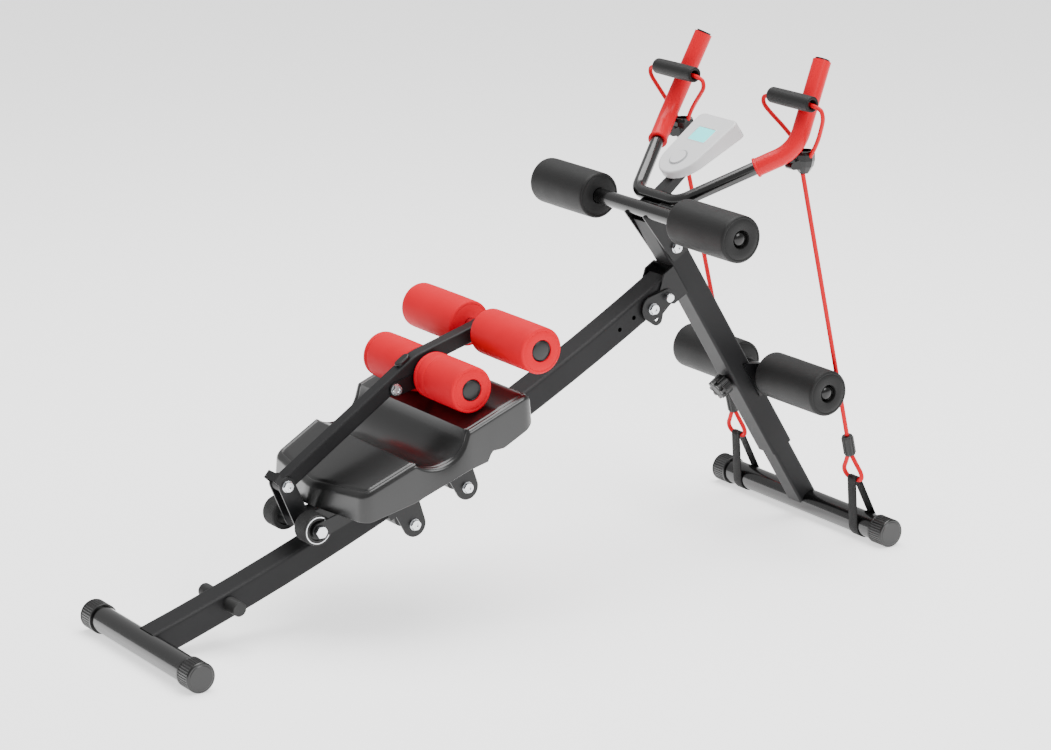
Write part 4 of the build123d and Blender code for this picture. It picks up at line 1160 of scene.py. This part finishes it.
# ---------------------------------------------------------------- cords, handles and straps

HANDLE_ROUTE: list[Point] = [
    (135.5, 972.0, 570.0), (128.0, 970.0, 589.0), (104.0, 963.0, 612.0), (81.0, 956.0, 630.0),
    (67.0, 952.5, 643.0), (74.0, 952.0, 657.0), (194.0, 952.0, 657.0), (201.0, 953.5, 643.0),
    (191.0, 959.0, 627.0), (168.0, 969.0, 596.0), (145.5, 972.0, 570.0)]
LOOP_ROUTE: list[Point] = [
    (133.6, 1065.4, 129.0), (126.0, 1068.5, 116.0), (116.0, 1071.5, 102.0), (122.0, 1075.0, 90.0),
    (152.0, 1075.0, 90.0), (158.0, 1071.5, 102.0), (148.0, 1068.5, 116.0), (140.4, 1065.4, 129.0)]
CORD_EXIT: Point = (140.0, 968.0, 552.5)
CRIMP_TOP: Point = (137.1, 1059.4, 158.1)


@dataclass
class HeldCord:
    """A latex cord that the machine holds at both ends, on one smooth line."""

    name: str
    route: Sequence[Point]
    side: int
    diameter: float
    length: float
    body: str
    node: str

    def build(self) -> list[bpy.types.Object]:
        """Builds the cord as a round curve through its route."""
        curve = bpy.data.curves.new(self.name, "CURVE")
        curve.dimensions = "3D"
        curve.bevel_depth = self.diameter / 2 * MM
        curve.bevel_resolution = 6
        curve.use_fill_caps = True
        curve.resolution_u = 12
        spline = curve.splines.new("NURBS")
        points = [station(self.side * x, y, z) for x, y, z in self.route]
        spline.points.add(len(points) - 1)
        for item, point in zip(spline.points, points):
            item.co = (*point, 1.0)
        spline.order_u = 3
        spline.use_endpoint_u = True
        curve.materials.append(RED_LATEX.build())
        cord = bpy.data.objects.new(self.name, curve)
        bpy.context.scene.collection.objects.link(cord)
        finish_piece(cord, self.body, "red_cord", self.node)
        return [cord]


@dataclass
class TautCord:
    """The resistance cord that runs straight from a guide to its crimp, across the telescope."""

    side: int
    node: str
    diameter: float = 6.5
    spans: int = 60
    segments: int = 20

    def build(self) -> list[bpy.types.Object]:
        """Builds the cord as a tube that stretches between the mast and the leg."""
        x, y, z = CORD_EXIT
        top = station(self.side * x, y, z)
        x, y, z = CRIMP_TOP
        foot = station(self.side * x, y, z)
        run = foot - top
        across = run.orthogonal().normalized()
        beside = run.normalized().cross(across)
        build = bmesh.new()
        path = [top + run * i / self.spans for i in range(self.spans + 1)]
        rings = [[top] * self.segments]
        for point in path:
            rings.append([point + (across * math.cos(a) + beside * math.sin(a)) * self.diameter / 2 * MM
                          for a in (math.tau * i / self.segments for i in range(self.segments))])
        rings.append([foot] * self.segments)
        skin(build, rings)
        name = f"latex_{self.node}"
        cord = piece_from(name, mesh_from(build, name), RED_LATEX)
        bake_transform(cord)
        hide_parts(self.node)
        LOG.info("%s bridges mast and leg", name)
        return [cord]


@dataclass
class PullHandles:
    """The two foam handles that the cord loops run through."""

    length: float = 90.0
    swell: float = 0.35
    edge: float = 2.2
    bore: float = 6.6

    def build(self) -> list[bpy.types.Object]:
        """Builds both handles."""
        low, high = box_of("d_handles")
        radius = (high.z - low.z) / 2
        handles = []
        for side in (-1, 1):
            length = self.length
            start = Vector((side * (high.x - length), (low.y + high.y) / 2, (low.z + high.z) / 2)) * MM
            hip = radius - self.edge - self.swell
            body = [(self.edge + (length - 2 * self.edge) * i / 24,
                     radius - self.swell * (2 * i / 24 - 1) ** 2) for i in range(1, 24)]
            section = [(1.0, self.bore), (0.2, self.bore + 0.9), (0, hip),
                       *quarter(self.edge, hip, self.edge, 180), *body,
                       *quarter(length - self.edge, hip, self.edge, 90), (length - 0.2, self.bore + 0.9),
                       (length - 1.0, self.bore)]
            mesh = mesh_from(lathe(section, start, side, 64, wobble=0.08), "pull_handle")
            handles.append(piece_from(f"pull_handle_{side_name(side)}", mesh, BLACK_FOAM, 40))
        made = joined("pull_handles", handles)
        finish_piece(made, "mast", "handle_foam", "d_handles")
        return [made]


@dataclass
class FootStrap:
    """A sewn webbing loop round the rear foot, with the cord's loop at its top."""

    side: int
    x: float = 137.0
    width: float = 19.0
    thick: float = 1.6
    apex: tuple[float, float] = (1075.0, 90.0)
    apex_radius: float = 4.05
    foot: tuple[float, float] = (1093.5, 20.7)
    foot_radius: float = 18.1
    round_edge: float = 0.5
    stitch_pitch: float = 2.6
    stitch_length: float = 1.8
    stitch_radius: float = 0.5
    stitch_inset: float = 3.0
    stitches_each_way: int = 4
    front_lean: float = 0.05

    def loop(self) -> list[tuple[Vector, Vector]]:
        """The loop's inner line as (station, height) points with outward directions."""
        top, low = Vector(self.apex), Vector(self.foot)
        run = low - top
        tilt = math.acos((self.apex_radius - self.foot_radius) / run.length)
        heading = math.atan2(run.y, run.x)
        arcs = ((top, self.apex_radius, heading + tilt, heading + math.tau - tilt, 12),
                (low, self.foot_radius, heading - tilt, heading + tilt, 28))
        points = []
        for centre, radius, start, end, steps in arcs:
            for i in range(steps + 1):
                angle = start + (end - start) * i / steps
                spoke = Vector((math.cos(angle), math.sin(angle)))
                points.append((centre + spoke * radius, spoke))
        dense = []
        for (a, na), (b, nb) in zip(points, points[1:] + points[:1]):
            steps = max(1, int((b - a).length / 3))
            dense += [(a.lerp(b, i / steps), na.lerp(nb, i / steps).normalized()) for i in range(steps)]
        return dense

    def build(self) -> list[bpy.types.Object]:
        """Builds the band with its own flat map, and its rows of stitches."""
        path = self.loop()
        half, edge = self.width / 2, self.round_edge
        across = [(-half, edge), (-half + edge, 0.0), (half - edge, 0.0), (half, edge),
                  (half, self.thick - edge), (half - edge, self.thick), (-half + edge, self.thick),
                  (-half, self.thick - edge)]
        build = bmesh.new()
        rings = [[station(self.side * (self.x + x), *(p + n * out)) for x, out in across] for p, n in path]
        skin(build, rings, loop=True)
        bmesh.ops.recalc_face_normals(build, faces=build.faces)
        flat = build.loops.layers.uv.new("flat")
        for face in build.faces:
            for corner in face.loops:
                place = corner.vert.co
                corner[flat].uv = (place.x, place.z + place.y * 0.25)
        mesh = bpy.data.meshes.new("foot_strap")
        build.to_mesh(mesh)
        build.free()
        strap = piece_from(f"webbing_strap_{side_name(self.side)}", mesh, BLACK_WEBBING, 50)
        return [finish_piece(strap, "leg", "webbing", "foot_straps"), self.stitches(path)]

    def stitches(self, path: list[tuple[Vector, Vector]]) -> bpy.types.Object:
        """Sews the overlap on the strap's front run with two rows along it."""
        point, normal = max(path, key=lambda spot: spot[0].y * self.front_lean - spot[0].x)
        along = Vector((normal.y, -normal.x))
        across_half = self.width / 2 - self.stitch_inset
        counts = range(-self.stitches_each_way, self.stitches_each_way + 1)
        rows = [(x, i) for x in (-across_half, across_half) for i in counts]
        places, turns = [], []
        tilt = math.atan2(along.y, along.x)
        for x, i in rows:
            spot = point + along * (i * self.stitch_pitch) + normal * (self.thick + 0.05)
            places.append(station(self.side * (self.x + x), spot.x, spot.y))
            turns.append(Vector((tilt, 0, 0)))
        pattern = bmesh.new()
        bmesh.ops.create_uvsphere(pattern, u_segments=8, v_segments=6,
                                   radius=self.stitch_radius * MM)
        for vert in pattern.verts:
            vert.co.y *= self.stitch_length
            vert.co.z *= 0.5
        sewn = scattered(f"strap_stitches_{side_name(self.side)}", THREAD,
                         mesh_from(pattern, "stitch", 1e-9), places, turns)
        return finish_piece(sewn, "leg", "webbing")


@dataclass
class Crimp:
    """The moulded clamp that closes a cord's lower loop, ribbed along its length."""

    side: int
    length: float = 31.0
    radius: float = 7.6
    rib: float = 1.3
    ribs: int = 10
    edge: float = 0.8
    bare_ends: float = 5.0

    def build(self) -> list[bpy.types.Object]:
        """Builds the clamp's core and ribs along the cord's line."""
        x, y, z = CRIMP_TOP
        top = station(self.side * x, y, z)
        x, y, z = CORD_EXIT
        run = (top - station(self.side * x, y, z)).normalized()
        hip = self.radius - self.edge
        core = [(0, 0), (0, hip), (self.edge, self.radius), (self.length - self.edge, self.radius),
                (self.length, hip), (self.length, 0)]
        barrel = piece_from("crimp_core", mesh_from(
            lathe(core, Vector(), 1, 48, closed=False), "crimp"), BLACK_NYLON)
        ribs = rods_round("crimp_ribs", BLACK_NYLON, self.ribs, self.radius, self.rib,
                          self.length - self.bare_ends,
                          Vector((self.length / 2 * MM, 0, 0)))
        made = joined(f"cord_clamp_{side_name(self.side)}", [barrel, ribs])
        made.data.transform(Matrix.Translation(top) @ run.to_track_quat("X", "Z").to_matrix().to_4x4())
        return [finish_piece(made, "leg", "cap_plastic", "cord_crimps")]


# ---------------------------------------------------------------- studio


@dataclass(frozen=True)
class Lamp:
    """A square soft light: its name, place and target in metres, width and power in watts."""

    name: str
    place: Point
    target: Point
    size: float
    watts: float

    def build(self) -> None:
        """Adds the light, facing its target."""
        data = bpy.data.lights.new(self.name, "AREA")
        data.size = self.size
        data.energy = self.watts
        lamp = bpy.data.objects.new(self.name, data)
        lamp.location = self.place
        towards = Vector(self.target) - Vector(self.place)
        lamp.rotation_euler = towards.to_track_quat("-Z", "Y").to_euler()
        bpy.context.scene.collection.objects.link(lamp)


KEY_LAMP = Lamp("key", (2.8, 0.6, 2.4), (0, 0, 0.3), 1.6, 60)
TOP_LAMP = Lamp("top", (-0.3, 0.4, 3.2), (0, 0.1, 0.3), 3.0, 170)


@dataclass
class Studio:
    """The camera, the soft lights and the pale floor."""

    azimuth: float = 56.12
    elevation: float = 15.71
    roll: float = -0.29
    lens: float = 116.66
    sensor: float = 36.0
    floor_reach: float = 30.0
    eye: Point = (3.751, -2.46675, 1.561)
    room_light: float = 0.62
    paper_glow: float = 1.1

    def camera(self) -> None:
        """Places the camera by its turn about the machine, its height and a slight roll."""
        a, e, r = (math.radians(v) for v in (self.azimuth, self.elevation, self.roll))
        forward = Vector((-math.sin(a) * math.cos(e), math.cos(a) * math.cos(e), -math.sin(e)))
        right = Vector((math.cos(a), math.sin(a), 0))
        up = right.cross(forward)
        right, up = right * math.cos(r) + up * math.sin(r), up * math.cos(r) - right * math.sin(r)
        data = bpy.data.cameras.new("camera")
        data.lens = self.lens
        data.sensor_width = self.sensor
        camera = bpy.data.objects.new("camera", data)
        turn = Matrix((right, up, -forward)).transposed().to_4x4()
        camera.matrix_world = Matrix.Translation(Vector(self.eye)) @ turn
        bpy.context.scene.collection.objects.link(camera)
        bpy.context.scene.camera = camera

    def world(self) -> None:
        """Gives the room an even pale light."""
        world = bpy.data.worlds.new("room")
        world.use_nodes = True
        back = world.node_tree.nodes["Background"]
        back.inputs["Color"].default_value = linear("#FFFFFF")
        back.inputs["Strength"].default_value = self.room_light
        bpy.context.scene.world = world

    def floor(self) -> None:
        """Lays a wide pale floor that fades into the room."""
        build = bmesh.new()
        bmesh.ops.create_grid(build, x_segments=1, y_segments=1, size=self.floor_reach)
        mesh = mesh_from(build, "floor")
        floor = piece_from("floor", mesh, STUDIO_PAPER)
        shader = floor.data.materials[0].node_tree.nodes["Principled BSDF"]
        shader.inputs["Emission Color"].default_value = linear("#FFFFFF")
        shader.inputs["Emission Strength"].default_value = self.paper_glow

    def build(self) -> None:
        """Sets up the whole studio."""
        self.camera()
        self.world()
        self.floor()
        KEY_LAMP.build()
        TOP_LAMP.build()


# ---------------------------------------------------------------- assembly


def machine_parts() -> Iterable[object]:
    """Lists the sub-assemblies in the order in which they are built."""
    yield FootCaps("front_foot_caps", "base")
    yield FootCaps("rear_foot_caps", "leg")
    black = ("upper_black_roller", 11.0), ("lower_black_roller", 10.0)
    for side in (-1, 1):
        name = side_name(side)
        for family, axle in black:
            yield FoamRoller(f"{family}_{name}", side, axle=axle, mouth=12.8, deep=7.2,
                             finish=BLACK_FOAM, slot="black_foam")
        yield FoamRoller(f"upper_red_roller_{name}", side, axle=8.0, mouth=14.9, deep=3.0,
                         finish=RED_FOAM, slot="red_foam")
        yield FoamRoller(f"lower_red_roller_{name}", side, axle=8.0, mouth=14.9, deep=3.0,
                         finish=RED_FOAM, slot="red_foam", grooves=(9.0, 26.0) if side > 0 else (88.6,))
        yield TreadedRoller(f"front_roller_{name}", side)
        yield HeldCord(f"pull_cord_{name}", HANDLE_ROUTE, side, diameter=6.0, length=342.0,
                       body="mast", node=f"handle_cord_{name}")
        yield HeldCord(f"loop_cord_{name}", LOOP_ROUTE, side, diameter=6.5, length=118.0,
                       body="leg", node=f"lower_loop_{name}")
        yield TautCord(side, f"resistance_cord_{name}")
        yield FootStrap(side)
        yield Crimp(side)
    red = ("upper_red_roller", "lower_red_roller")
    yield AxleDomes(tuple(f"{family}_{side_name(s)}" for family, _ in black for s in (-1, 1)),
                    "axle_end_caps", "mast", GLOSS_NYLON)
    yield AxleDomes(tuple(f"{family}_{side_name(s)}" for family in red for s in (-1, 1)),
                    "arm_axle_caps", "swing_arm", BLACK_NYLON, radius=14.4, rise=1.8, deep=2.9)
    yield ConsoleTrim()
    yield LobedKnob()
    yield FacetedGuide()
    yield RolledLip()
    yield PullHandles()
    yield Seat()


def main() -> None:
    """Builds the studio, dresses the CAD nodes and builds each sub-assembly."""
    logging.basicConfig(level=logging.INFO, format="%(message)s")
    Studio().build()
    dress_cad_nodes()
    for part in machine_parts():
        part.build()


if __name__ == "__main__":
    main()
